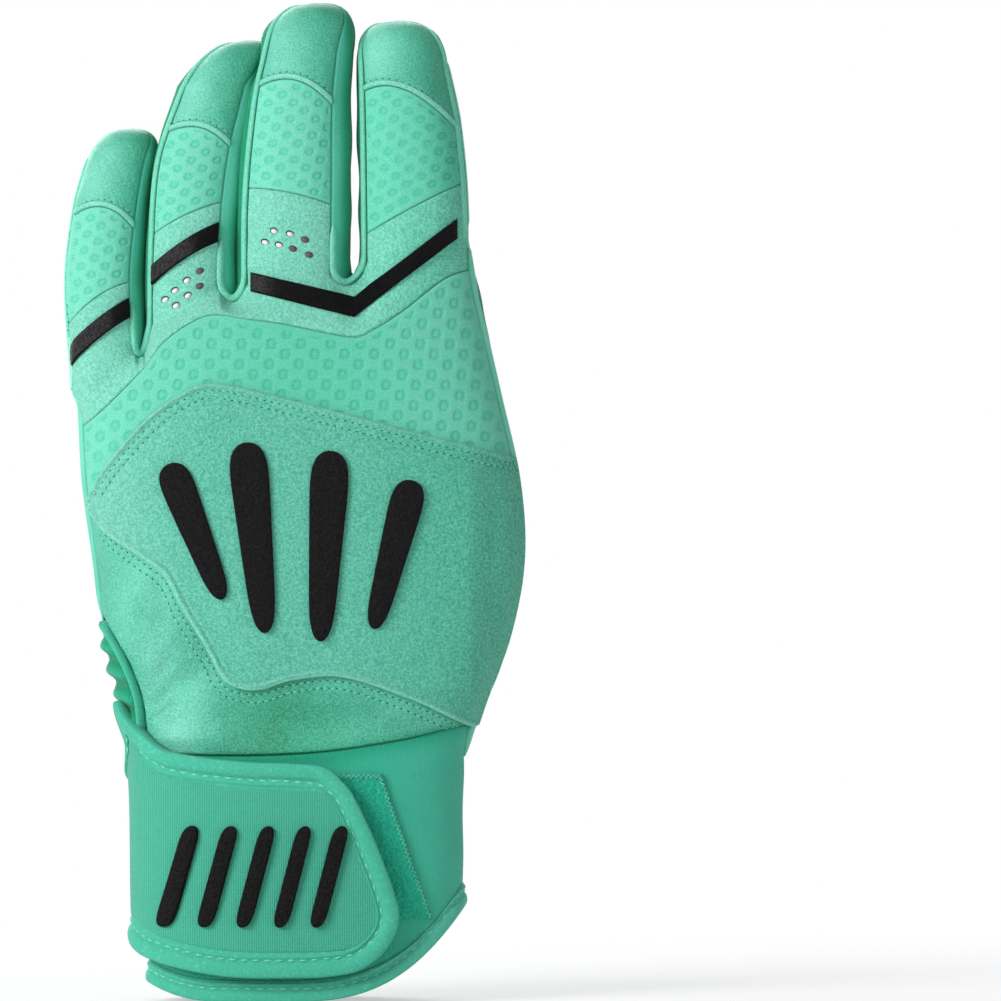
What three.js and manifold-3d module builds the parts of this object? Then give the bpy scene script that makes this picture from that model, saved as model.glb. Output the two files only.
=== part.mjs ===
// Batting glove for the left hand: sewn panels over a hand form, a knit cuff and a hook-and-loop strap.
// Millimetres. +Z runs from the wrist to the fingertips, +X to the thumb side, -Y out of the back of the hand.
// The origin is the centre of the wrist opening. Every panel is a thin sheet laid on one hand form.

import * as THREE from 'three';
import { mergeVertices } from 'three/addons/utils/BufferGeometryUtils.js';
import Module from 'manifold-3d';

const wasm = await Module();
wasm.setup();

// Size: the tables below are drawn for the pattern size and graded to the wanted length and width
const GLOVE_LENGTH = 239;
const GLOVE_WIDTH = 110;
const PATTERN_LENGTH = 239;
const PATTERN_WIDTH = 110;

// Fit between pieces
const CLEARANCE = 0.3;

// Sheet thicknesses
const PALM_LEATHER = 1.2;
const BACK_SHEET = 1.2;
const SIDE_SHEET = 1.0;
const THUMB_SHEET = 1.2;
const LINING = 0.9;
const FOAM = 1.3;
const SHIELD_SHEET = 1.2;
const PATCH_SHEET = 1.0;
const STRIPE_FILM = 0.7;
const GUARD_RIB = 1.8;
const CUFF_KNIT = 1.6;
const ELASTIC = 1.2;
const HEM_BULGE = 0.6;
const LOOP_PILE = 1.0;
const HOOK_TAPE = 0.8;
const STRAP_SHEET = 1.6;
const STRAP_TRIM = 1.0;

// Hand form: height, ulnar edge, thumb-side edge, depth of the back, depth of the palm
const HAND = [
  [-4, -35.0, 39.3, 16.8, 16.8],
  [25, -35.7, 39.8, 16.8, 16.8],
  [52, -36.2, 40.0, 16.6, 16.6],
  [61, -37.6, 40.6, 16.4, 16.4],
  [70, -41.2, 43.6, 16.4, 16.0],
  [86, -45.6, 50.0, 16.8, 15.6],
  [105, -48.0, 53.6, 17.2, 15.2],
  [124, -50.6, 52.6, 16.8, 14.8],
  [144, -51.8, 48.2, 15.4, 13.8],
  [158, -53.8, 45.0, 13.8, 12.6],
  [172, -55.3, 41.8, 12.0, 11.4],
  [190, -53.4, 40.5, 10.6, 10.6],
];
const HAND_ROUNDNESS = 2.5;
const FINGER_ROUNDNESS = 2.2;
const FINGER_DEPTH = 9.6;
const FINGER_TIP_WIDTH = 0.28;
const TIP_TURN = 86;

// Fingers: stations give height, centre x, half width and centre y.
// Seams across a finger give heights at its ulnar edge, middle and thumb-side edge.
// base gives the heights at both edges where the finger leaves the hand.
const FINGERS = [
  {
    name: 'little',
    stations: [[148, -44.5, 9.2, 0.6], [172, -46.1, 9.2, 3.0], [190, -44.4, 9.0, 5.0], [201, -42.2, 8.4, 7.0]],
    domeStart: 200, tip: 208.8, tipX: -40.2,
    base: [146, 156],
    capSeam: [188.2, 189.4, 184.0],
    meshSeam: [162.0, 169.2, 172.3],
    stripe: [152.6, 159.0, 165.4],
  },
  {
    name: 'ring',
    stations: [[150, -25.8, 10.2, 0.5], [182, -25.3, 10.3, 1.0], [201, -23.6, 10.5, 3.0], [218, -19.0, 9.4, 6.0]],
    domeStart: 219, tip: 230.6, tipX: -14.6,
    base: [160, 169.5],
    capSeam: [207.8, 208.6, 204.0],
    meshSeam: [182.6, 188.4, 191.5],
    stripe: [172.4, 180.0, 184.0],
  },
  {
    name: 'middle',
    stations: [[160, 0.3, 12.0, -1.0], [190, 0.4, 12.4, -1.0], [215, 1.2, 11.3, 0.5], [228, 2.8, 10.6, 2.0]],
    domeStart: 227, tip: 238.8, tipX: 4.0,
    base: [168, 171],
    capSeam: [219.6, 220.6, 214.8],
    meshSeam: [194.2, 192.7, 188.4],
  },
  {
    name: 'index',
    stations: [[160, 28.0, 12.6, 0.0], [190, 27.8, 12.7, 0.0], [210, 26.8, 11.9, 1.0], [224, 25.2, 10.6, 2.5]],
    domeStart: 223, tip: 234.6, tipX: 24.0,
    base: [173, 181],
    capSeam: [217.9, 219.4, 210.2],
    meshSeam: [182.4, 189.4, 195.6],
  },
];
// Seams along a finger, as angles round its section: 0 is the middle of the back, 90 the thumb side
const BACK_SEAM_ULNAR = -74;
const BACK_SEAM_THUMB = 40;
const PALM_SEAM_THUMB = 106;
const PALM_SEAM_ULNAR = 220;
const OUTER_SEAM = 89.4;
// Angles at which the side strips run out over the tip
const TIP_SEAM_THUMB = 73;
const TIP_SEAM_ULNAR = -107;
const SIDE_REACH = 0.85;
const CROTCH_DIP = 3.0;
const CROTCH_INSET = 0.2;
const CROTCH_DROP = 0.8;
const CROTCH_TONGUE = 0.25;

// Seams on the back of the hand, as x and height pairs from the ulnar edge to the thumb side
const KNUCKLE_SEAM = [
  [-60, 135.0], [-50.6, 137.8], [-37, 150.2], [-32.2, 156.5], [-25.9, 161.3], [-19.9, 163.7],
  [-10, 162.5], [-2.9, 161.5], [13, 158.4], [16.3, 158.9], [25, 164.2], [37.7, 173.5], [60, 178],
];
const SHIELD_TOP = [
  [-60, 121.0], [-50.6, 122.6], [-44.2, 130.3], [-33.8, 139.0], [-24, 146.2], [-19.9, 147.1],
  [-13.9, 145.7], [3.4, 140.6], [25, 134.9], [42, 130.6], [60, 126],
];
const SHIELD_BOTTOM = [
  [-60, 116], [-50.6, 117.4], [-44.9, 113.3], [-32.2, 104.9], [-29.8, 102.2], [-27.1, 96.5], [-21.1, 86.6],
  [-17, 79.0], [-13.9, 76.8], [-8.4, 76.3], [-1.4, 78.5], [10.8, 79.4], [27.8, 73.9], [43, 67.0], [60, 64],
];
const CUFF_TOP = [[-60, 62], [-32, 59], [0.7, 59.2], [24.7, 62.4], [42.5, 66.2], [60, 67]];
const PALM_CUFF_SEAM = [[-60, 60], [-46, 57.0], [0, 55.8], [36, 57.8], [60, 58]];
const PALM_LOFT_FOOT = [[-60, 139], [-37, 146], [-14, 154], [14, 158], [60, 162]];
const SHIELD_LAP = 1.6;
const FOAM_EDGE = 88;
const LINING_EDGE = 80;
const FOAM_REACH = [-4, -2, 0, 2, 4];
const LINING_FOOT = 97;
const STRIPE_WIDTH = 4.8;
const STRIPE_INSET = 4;
const CHEVRON = [[-10.6, 171.6], [13.9, 165.4], [38.2, 184.4]];
const CHEVRON_BASE = 0.6;
const KNUCKLE_STEPS = 8;
const CUFF_TURN = [78, 88];
const CUFF_SIDES = 40;

// Vent at the ulnar side of the wrist
// Its front edge gives height and x
const VENT_EDGE = [[58, -35.6], [66, -36.0], [73, -37.0], [81.5, -40.4], [89, -45.0], [95, -48.2]];
const VENT_BINDING_WIDTH = 2.6;
const VENT_BINDING_TOP = 85;
const VENT_BULGE = 0.8;
const ELASTIC_ANGLES = [-128, -50];
const ELASTIC_RANGE = [69, 88];

// Cuff hem: a rounded corner at the thumb side
const HEM_RISE = 23;
const HEM_START_X = -5;
const HEM_RUN = 45;
const HEM_POWER = 3.1;
const HEM_ULNAR = { rise: 6, startX: -18, run: 20, power: 2.2 };
const HEM_WIDTH = 4.6;

// Strap over the back of the wrist: its long edges give the angle round the wrist and the height,
// its end gives the share of the strap's width and the angle
const STRAP_ROOT_ANGLE = -97;
const STRAP_TOP = [
  [-97, 56.0], [-90, 63.0], [-82, 70.0], [-76.7, 71.4], [-68.5, 64.8], [-50.2, 59.0], [-34.4, 56.7], [-15.2, 55.1],
  [1.6, 54.9], [9.9, 53.5],
];
const STRAP_BOTTOM = [[-97, 14.5], [-87.8, 14.0], [-66.8, 10.7], [-25.8, 6.6], [0, 7.4], [18.6, 11.7], [30, 16]];
const STRAP_END = [[0, 19.0], [0.1, 27.6], [0.27, 30.2], [0.5, 25.6], [0.744, 18.5], [1, 9.9]];
const STRAP_BINDING = [0.05, 0.075];
const STRAP_BINDING_RUN = [72, 46];
const STRAP_BINDING_BULGE = 0.3;
const ANCHOR_TAPER = 12;
const ANCHOR_ANGLE = -128;
const ANCHOR_TOP = 55.5;
const LOOP_PATCH = { left: -8, topRight: 20.5, bottomRight: 32.4, top: 54.4, bottom: 19.6 };
const HOOK_SHARES = { from: 0.6, to: 0.92, bottom: 0.34, top: 0.88 };

// Guard ribs on the shield: root x, root height, tip x, tip height, half width
const GUARD_RIBS = [
  [-17.0, 96.0, -29.5, 128.0, 3.6],
  [-7.0, 88.0, -11.5, 133.0, 4.2],
  [6.0, 86.0, 8.5, 131.0, 4.2],
  [18.5, 89.0, 27.5, 124.0, 3.6],
];
const RIB_ROOT_SHARE = 0.55;
const RIB_END_ROUND = 0.9;

// Strap trim: slanted ribs, with their foot x, height range and lean
const STRAP_RIBS = [-29, -20.5, -12, -3.5, 5];
const STRAP_RIB = { halfWidth: 1.9, bottom: 18, top: 42, lean: 6 };

// Palm: reinforcing patch, whose inner edge gives height and x, and the triangular wrist tab
const PALM_PATCH_TOP = [[-60, 137.4], [-34, 141.5], [-20.4, 144.7], [-10, 146]];
const PALM_PATCH_EDGE = [
  [64, 3.0], [68, 7.0], [75.4, 10.1], [81.6, 6.2], [87.4, -1.9], [97.7, -11.3], [115.4, -14.9], [131.5, -15.9],
  [144, -18.6],
];
const PALM_PATCH_BOTTOM = [[-60, 67.4], [-34.4, 65.4], [-22.8, 63.4], [-9.1, 64.6], [12, 67.5]];
const WRIST_TAB = { tip: [42.6, 79], inner: [30.0, 60.2], outer: [39.6, 61.0], tipWidth: 1.2 };

// Thumb: stations give centre x, y, height and half width; it lies in front of the index finger
const THUMB = [
  [36.0, 5.0, 106, 15.5],
  [36.4, 12.5, 130, 14.8],
  [34.2, 20.0, 150, 13.5],
  [31.6, 22.8, 168, 12.3],
  [29.4, 23.0, 186, 10.3],
];
const THUMB_TIP = [28.0, 22.6, 199.4];
const THUMB_DEPTH_SHARE = 0.86;
const THUMB_FRONT = [22, 222];
const THUMB_GUSSET_LEVEL = 0.5;
const GUSSET_LEAST = 0.06;
const THUMB_SEAM = 0.006;
const THUMB_HOLE = 10.5;

// Rows and columns of the sheets
const FINGER_ACROSS = 6;
const CAP_ROWS = 8;
const CAP_DOME_SHARE = 0.625;
const FRONT_ROWS = 12;
const FRONT_DOME_SHARE = 5 / 12;
const LOBE_ROWS = 3;
const BAND_STEPS = 4;
const CROTCH_STEPS = 4;
const SIDE_ACROSS = 3;
const SIDE_ROWS = 11;
const SIDE_SHAFT = 7 / 11;
const PALM_ROWS = 11;
const PALM_ROW_POWER = 1.5;
const SHIELD_GRID = [36, 7];
const FOAM_GRID = [20, 4];
const LINING_GRID = [12, 4];
const LOWER_GRID = [28, 6];
const CHEVRON_STEPS = 22;
const GUARD_GRID = [4, 12];
const STRAP_GRID = [24, 6];
const RIM_STEPS = 24;
const RIM_END_STEPS = 6;
const PATCH_GRID = [12, 10];
const THUMB_ACROSS = 12;
const THUMB_BACK_ACROSS = 10;
const ROOT_STEPS = 240;
const SETTLE_ROUNDS = 6;
const SEAM_GUESS = 110;

// Heights of the layers over the hand form
const OVERLAY = CLEARANCE;
const PALM_OVERLAY = 0.5;
const RIB_BASE = OVERLAY + SHIELD_SHEET + CLEARANCE;
const HOOK_BASE = OVERLAY + LOOP_PILE + CLEARANCE;
const STRAP_BASE = HOOK_BASE + HOOK_TAPE + CLEARANCE;
const TRIM_BASE = STRAP_BASE + STRAP_SHEET + CLEARANCE;
const LINING_BASE = -FOAM - 2 * CLEARANCE;
const ELASTIC_BASE = -BACK_SHEET - 2 * CLEARANCE;

// Colours of the materials
const MINT_LEATHER = { color: 0x5cbfa4, roughness: 0.55, metalness: 0 };
const MINT_SUEDE = { color: 0x55b99d, roughness: 0.95, metalness: 0 };
const MINT_MESH = { color: 0x66c8ad, roughness: 0.8, metalness: 0 };
const MINT_KNIT = { color: 0x3aa586, roughness: 0.9, metalness: 0 };
const MINT_DARK = { color: 0x37846d, roughness: 0.9, metalness: 0 };
const MINT_PILE = { color: 0x2f9d82, roughness: 1, metalness: 0 };
const BLACK_RUBBER = { color: 0x070707, roughness: 0.45, metalness: 0 };
const PALE_FOAM = { color: 0xd8e6e0, roughness: 1, metalness: 0 };

const HALF_TURN = 180;
const FULL_TURN = 360;
const RAD = Math.PI / HALF_TURN;
const EPSILON = 1e-3;
const lerp = (a, b, t) => a + (b - a) * t;
const clamp = (v, lo, hi) => Math.min(hi, Math.max(lo, v));

// Smooth value of one column of a station table at a height
function along(table, column, at) {
  const last = table.length - 1;
  const z = clamp(at, table[0][0], table[last][0]);
  let i = 0;
  while (i < last - 1 && z > table[i + 1][0]) i += 1;
  const slope = (k) => {
    const a = table[Math.max(0, k - 1)];
    const b = table[Math.min(last, k + 1)];
    return (b[column] - a[column]) / (b[0] - a[0]);
  };
  const [a, b] = [table[i], table[i + 1]];
  const span = b[0] - a[0];
  return hermite(a[column], slope(i) * span, b[column], slope(i + 1) * span, (z - a[0]) / span);
}

function hermite(p0, m0, p1, m1, t) {
  const t2 = t * t;
  const t3 = t2 * t;
  return p0 * (2 * t3 - 3 * t2 + 1) + m0 * (t3 - 2 * t2 + t) + p1 * (3 * t2 - 2 * t3) + m1 * (t3 - t2);
}

// Height of a seam, a list of x and height pairs, at x
function seamHeight(seam, x) {
  return along(seam, 1, x);
}

// Height of a three-point seam across a finger at t, from -1 at the ulnar edge to 1
function crossSeam([ulnar, middle, thumb], t) {
  return middle + (thumb - ulnar) * t / 2 + ((thumb + ulnar) / 2 - middle) * t * t;
}

// Superellipse: share of the half width at an angle, and share of the depth at a share of the half width
const widthShare = (angle, n) => {
  const s = Math.sin(angle * RAD);
  return Math.sign(s) * Math.abs(s) ** (2 / n);
};
const OUTER_SHARE = widthShare(OUTER_SEAM, HAND_ROUNDNESS);
const depthShare = (t, n) => Math.max(0, 1 - Math.abs(t) ** n) ** (1 / n);

// Hand form below the fingers
const handMiddle = (z) => (along(HAND, 1, z) + along(HAND, 2, z)) / 2;
const handHalf = (z) => (along(HAND, 2, z) - along(HAND, 1, z)) / 2;
const handShare = (x, z) => clamp((x - handMiddle(z)) / handHalf(z), -1, 1);
const seamShare = (p) => clamp(handShare(p.x, p.z), -OUTER_SHARE, OUTER_SHARE);
const handX = (angle, z) => handMiddle(z) + handHalf(z) * widthShare(angle, HAND_ROUNDNESS);
function handY(side, x, z) {
  const depth = along(HAND, side < 0 ? 3 : 4, z);
  return side * depth * depthShare(handShare(x, z), HAND_ROUNDNESS);
}
// Point of the hand form at an angle round it: 0 is the middle of the back, 180 the middle of the palm
function handRound(angle, z) {
  const side = Math.cos(angle * RAD) > 0 ? -1 : 1;
  const x = handX(angle, z);
  return new THREE.Vector3(x, handY(side, x, z), z);
}

// Fingers. Height above the dome's start counts as its share from 0 to 1.
function fingerSection(finger, level) {
  const z = Math.min(level, finger.domeStart);
  const x = along(finger.stations, 1, z);
  const half = along(finger.stations, 2, z);
  const y = along(finger.stations, 3, z);
  if (level <= finger.domeStart) return { x, y, z, half, depth: FINGER_DEPTH };
  const turn = (level - finger.domeStart) * TIP_TURN * RAD;
  const rise = Math.sin(turn);
  const shrink = Math.cos(turn);
  return {
    x: lerp(x, finger.tipX, rise),
    y,
    z: lerp(finger.domeStart, finger.tip, rise),
    half: half * lerp(FINGER_TIP_WIDTH, 1, shrink),
    depth: FINGER_DEPTH * shrink,
  };
}
function fingerRound(finger, angle, level) {
  const s = fingerSection(finger, level);
  const t = widthShare(angle, FINGER_ROUNDNESS);
  const side = Math.cos(angle * RAD) > 0 ? -1 : 1;
  return new THREE.Vector3(s.x + s.half * t, s.y + side * s.depth * depthShare(t, FINGER_ROUNDNESS), s.z);
}
const baseHeight = (finger, t) => lerp(finger.base[0], finger.base[1], (clamp(t, -1, 1) + 1) / 2);
const fingerBase = (finger, angle) => baseHeight(finger, widthShare(angle, FINGER_ROUNDNESS));
// Angles of a finger's side seams; over the tip, at a share of its dome, the seams of both sides come together
const ease = (share) => share * share * (3 - 2 * share);
const LAST_FINGER = FINGERS.length - 1;
const angleStart = (i, share = 0) => (
  i === 0 ? -OUTER_SEAM : lerp(BACK_SEAM_ULNAR, TIP_SEAM_ULNAR, ease(share)));
const angleEnd = (i, share = 0) => (
  i === LAST_FINGER ? OUTER_SEAM : lerp(BACK_SEAM_THUMB, TIP_SEAM_THUMB, ease(share)));
const palmStart = (i, share = 0) => (
  i === LAST_FINGER ? HALF_TURN - OUTER_SEAM : lerp(PALM_SEAM_THUMB, TIP_SEAM_THUMB, ease(share)));
const palmEnd = (i, share = 0) => (
  i === 0 ? HALF_TURN + OUTER_SEAM : lerp(PALM_SEAM_ULNAR, TIP_SEAM_ULNAR + FULL_TURN, ease(share)));

// U-shaped line between two neighbouring fingers, from one side seam to the other
function crotchPoint(i, fromAngle, toAngle, s, drop) {
  const a = fingerRound(FINGERS[i], fromAngle, fingerBase(FINGERS[i], fromAngle));
  const b = fingerRound(FINGERS[i + 1], toAngle, fingerBase(FINGERS[i + 1], toAngle));
  const p = a.clone().lerp(b, s);
  p.z -= CROTCH_DIP * Math.sin(Math.PI * s) + drop;
  return p;
}

// Outward normal of the hand form
function handNormal(side, x, z) {
  const step = 0.05;
  const acrossSlope = (handY(side, x + step, z) - handY(side, x - step, z)) / (2 * step);
  const upSlope = (handY(side, x, z + step) - handY(side, x, z - step)) / (2 * step);
  return new THREE.Vector3(-acrossSlope, 1, -upSlope).multiplyScalar(side).normalize();
}

// Skin of the hand between the knuckle line and the finger bases: columns of the loft run down the hand
function knuckleColumn(side, top, seamZ, steps) {
  const share = seamShare(top);
  const seamAt = onShare(share, seamZ);
  const footX = handMiddle(seamAt) + handHalf(seamAt) * share;
  const foot = new THREE.Vector3(footX, handY(side, footX, seamAt), seamAt);
  const belowX = handMiddle(seamAt - 1) + handHalf(seamAt - 1) * share;
  const footSlope = foot.y - handY(side, belowX, seamAt - 1);
  const rise = top.z - seamAt;
  const column = [];
  for (let j = 0; j <= steps; j += 1) {
    const t = j / steps;
    const z = lerp(seamAt, top.z, t);
    column.push(new THREE.Vector3(
      lerp(footX, top.x, t),
      hermite(foot.y, footSlope * rise, top.y, 0, t),
      z,
    ));
  }
  column[0].normal = handNormal(side, footX, seamAt);
  column[steps].normal = top.normal;
  return column;
}

// Column of the hand form at a share of its half width, between two seams
function handColumn(side, share, low, high, steps, rowPower = 1) {
  const [from, to] = [onShare(share, low), onShare(share, high)];
  const column = [];
  for (let j = 0; j <= steps; j += 1) {
    const z = lerp(from, to, (j / steps) ** rowPower);
    const x = handMiddle(z) + handHalf(z) * share;
    const p = new THREE.Vector3(x, handY(side, x, z), z);
    p.normal = handNormal(side, x, z);
    column.push(p);
  }
  return column;
}

// Open sheet made of grids of points; columns run up the hand and lie from left to right seen from outside
class Sheet {
  constructor() {
    this.points = [];
    this.triangles = [];
  }

  add(columns) {
    const start = this.points.length;
    const rows = columns[0].length;
    columns.forEach((column) => this.points.push(...column));
    for (let i = 0; i + 1 < columns.length; i += 1) {
      for (let j = 0; j + 1 < rows; j += 1) {
        const a = start + i * rows + j;
        const b = a + rows;
        this.triangles.push([a, b, b + 1], [a, b + 1, a + 1]);
      }
    }
    return this;
  }

  // Closed solid between two offsets from the sheet; offsets may be functions of the point
  thicken(inner, outer) {
    const key = (p) => [p.x, p.y, p.z].map((v) => Math.round(v / EPSILON)).join();
    const index = new Map();
    const points = [];
    const given = [];
    const remap = this.points.map((p) => {
      const k = key(p);
      if (!index.has(k)) {
        index.set(k, points.length);
        points.push(p);
        given.push(new THREE.Vector3());
      }
      if (p.normal) given[index.get(k)].add(p.normal);
      return index.get(k);
    });
    const faces = this.triangles.map((t) => t.map((i) => remap[i]));
    const solidFaces = faces.filter(([a, b, c]) => a !== b && b !== c && c !== a);
    const normals = points.map(() => new THREE.Vector3());
    const edges = new Map();
    for (const [a, b, c] of solidFaces) {
      const n = points[b].clone().sub(points[a]).cross(points[c].clone().sub(points[a]));
      [a, b, c].forEach((i) => normals[i].add(n));
      [[a, b], [b, c], [c, a]].forEach(([from, to]) => edges.set(`${from},${to}`, [from, to]));
    }
    const count = points.length;
    const positions = [];
    for (const offset of [outer, inner]) {
      points.forEach((p, i) => {
        const reach = typeof offset === 'function' ? offset(p) : offset;
        const normal = given[i].lengthSq() > EPSILON ? given[i] : normals[i];
        const moved = p.clone().addScaledVector(normal.clone().normalize(), reach);
        positions.push(moved.x, moved.y, moved.z);
      });
    }
    const indices = [];
    for (const [a, b, c] of solidFaces) {
      indices.push(a, b, c, a + count, c + count, b + count);
    }
    for (const [from, to] of edges.values()) {
      if (edges.has(`${to},${from}`)) continue;
      indices.push(from, from + count, to, to, from + count, to + count);
    }
    const geometry = new THREE.BufferGeometry();
    geometry.setAttribute('position', new THREE.Float32BufferAttribute(positions, 3));
    geometry.setIndex(indices);
    return geometry;
  }
}

// Grid of points from a function of two shares; each point keeps the surface's own normal
function grid(across, up, point) {
  const columns = [];
  for (let i = 0; i <= across; i += 1) {
    const column = [];
    for (let j = 0; j <= up; j += 1) {
      const [u, v] = [i / across, j / up];
      const p = point(u, v);
      const du = point(u + EPSILON, v).sub(point(u - EPSILON, v));
      const dv = point(u, v + EPSILON).sub(point(u, v - EPSILON));
      p.normal = du.cross(dv).normalize();
      column.push(p);
    }
    columns.push(column);
  }
  return columns;
}

// Seams of the back, as functions of x
const knuckleLine = (x) => seamHeight(KNUCKLE_SEAM, x);
const shieldTop = (x) => seamHeight(SHIELD_TOP, x);
const shieldBottom = (x) => seamHeight(SHIELD_BOTTOM, x);
const cuffTop = (x) => seamHeight(CUFF_TOP, x);
const palmCuffSeam = (x) => seamHeight(PALM_CUFF_SEAM, x);

// Point on the hand at an angle, with its height given by a seam function of x
function onSeam(angle, line) {
  let z = line(handX(angle, SEAM_GUESS));
  for (let k = 0; k < SETTLE_ROUNDS; k += 1) z = line(handX(angle, z));
  return z;
}

// Height of a seam at a share of the hand's half width
function onShare(share, line) {
  let z = line(handMiddle(SEAM_GUESS) + handHalf(SEAM_GUESS) * share);
  for (let k = 0; k < SETTLE_ROUNDS; k += 1) z = line(handMiddle(z) + handHalf(z) * share);
  return z;
}

// Band of the hand between two seam functions, from one angle to another
function handBand(from, to, across, up, low, high) {
  return grid(across, up, (u, v) => {
    const angle = lerp(from, to, u);
    return handRound(angle, lerp(onSeam(angle, low), onSeam(angle, high), v));
  });
}

const group = new THREE.Group();
function addPiece(name, geometry, material) {
  geometry.scale(GLOVE_WIDTH / PATTERN_WIDTH, 1, GLOVE_LENGTH / PATTERN_LENGTH);
  geometry.computeVertexNormals();
  const mesh = new THREE.Mesh(geometry, new THREE.MeshStandardMaterial(material));
  mesh.name = name;
  group.add(mesh);
}

// Solids for cutting
function toSolid(geometry) {
  const plain = geometry.clone();
  plain.deleteAttribute('normal');
  plain.deleteAttribute('uv');
  const merged = mergeVertices(plain, EPSILON);
  return new wasm.Manifold(new wasm.Mesh({
    numProp: 3,
    vertProperties: new Float32Array(merged.attributes.position.array),
    triVerts: new Uint32Array(merged.index.array),
  }));
}
function fromSolid(solid) {
  const mesh = solid.getMesh();
  const geometry = new THREE.BufferGeometry();
  geometry.setAttribute('position', new THREE.Float32BufferAttribute(mesh.vertProperties, 3));
  geometry.setIndex(Array.from(mesh.triVerts));
  return geometry;
}

const seamGap = CLEARANCE / 2;
const angleGap = seamGap / FINGER_DEPTH / RAD;

// Finger panel between two seams given as functions of t; without the upper seam it closes over the tip.
// from and to give its side seams as functions of the share of the tip's dome.
function fingerPanel(finger, from, to, up, low, high, domeShare = 0) {
  return grid(FINGER_ACROSS, up, (u, v) => {
    const angle = lerp(from(0) + angleGap, to(0) - angleGap, u);
    const t = widthShare(angle, FINGER_ROUNDNESS);
    if (high) return fingerRound(finger, angle, lerp(low(t), high(t), v));
    const shaft = 1 - domeShare;
    if (v < shaft) return fingerRound(finger, angle, lerp(low(t), finger.domeStart, v / shaft));
    const share = Math.min(1, (v - shaft) / domeShare);
    return fingerRound(finger, lerp(from(share) + angleGap, to(share) - angleGap, u), finger.domeStart + share);
  });
}

// Backs of the fingers
FINGERS.forEach((finger, i) => {
  const [from, to] = [(share) => angleStart(i, share), (share) => angleEnd(i, share)];
  const cap = fingerPanel(finger, from, to, CAP_ROWS,
    (t) => crossSeam(finger.capSeam, t) + seamGap, null, CAP_DOME_SHARE);
  addPiece(`${finger.name}_tip_cap`, new Sheet().add(cap).thicken(-BACK_SHEET, 0), MINT_LEATHER);
  const mesh = fingerPanel(finger, from, to, BAND_STEPS,
    (t) => crossSeam(finger.meshSeam, t) + seamGap, (t) => crossSeam(finger.capSeam, t) - seamGap);
  addPiece(`${finger.name}_mesh_panel`, new Sheet().add(mesh).thicken(-BACK_SHEET, 0), MINT_MESH);
});

// Knuckle panels: finger lobes lofted into the hand
function knuckleSheet(first, last) {
  const sheet = new Sheet();
  for (let i = first; i <= last; i += 1) {
    const finger = FINGERS[i];
    const lobe = fingerPanel(finger, () => angleStart(i), () => angleEnd(i), LOBE_ROWS,
      (t) => baseHeight(finger, t), (t) => crossSeam(finger.meshSeam, t) - seamGap);
    sheet.add(lobe);
    const line = (x) => knuckleLine(x) + seamGap;
    sheet.add(lobe.map((column) => knuckleColumn(-1, column[0], line, BAND_STEPS)));
    if (i === last) continue;
    const arc = [];
    for (let s = 0; s <= CROTCH_STEPS; s += 1) {
      arc.push(crotchPoint(i, angleEnd(i) - angleGap, angleStart(i + 1) + angleGap, s / CROTCH_STEPS,
        s === 0 || s === CROTCH_STEPS ? 0 : CROTCH_DROP));
    }
    sheet.add(arc.map((top) => knuckleColumn(-1, top, line, BAND_STEPS)));
  }
  return sheet;
}
const littleKnuckle = knuckleSheet(0, 0);
const knuckles = knuckleSheet(1, 3);
addPiece('little_knuckle_panel', littleKnuckle.thicken(-BACK_SHEET, 0), MINT_SUEDE);
addPiece('knuckle_panel', knuckles.thicken(-BACK_SHEET, 0), MINT_SUEDE);

// Fourchettes: side strips that run down one finger, round the crotch and up the next
function fourchette(i) {
  const sheet = new Sheet();
  const [left, right] = [FINGERS[i], FINGERS[i + 1]];
  const strip = (finger, from, to) => grid(SIDE_ACROSS, SIDE_ROWS, (u, v) => {
    const angle = lerp(from(0) + angleGap, to(0) - angleGap, u);
    if (v < SIDE_SHAFT) {
      return fingerRound(finger, angle, lerp(fingerBase(finger, angle), finger.domeStart, v / SIDE_SHAFT));
    }
    const share = SIDE_REACH * (v - SIDE_SHAFT) / (1 - SIDE_SHAFT);
    return fingerRound(finger, lerp(from(share) + angleGap, to(share) - angleGap, u), finger.domeStart + share);
  });
  sheet.add(strip(left, (share) => angleEnd(i, share), (share) => palmStart(i, share)));
  sheet.add(strip(right, (share) => palmEnd(i + 1, share), (share) => angleStart(i + 1, share) + FULL_TURN));
  sheet.add(grid(SIDE_ACROSS, CROTCH_STEPS, (u, s) => {
    const inset = CROTCH_INSET * clamp(CROTCH_STEPS * Math.min(s, 1 - s), 0, 1);
    const share = lerp(inset, 1 - inset, u);
    const leftAngle = lerp(BACK_SEAM_THUMB + angleGap, PALM_SEAM_THUMB - angleGap, share);
    const rightAngle = lerp(BACK_SEAM_ULNAR + FULL_TURN - angleGap, PALM_SEAM_ULNAR + angleGap, share);
    return crotchPoint(i, leftAngle, rightAngle, 1 - s, 0);
  }));
  return sheet;
}

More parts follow.
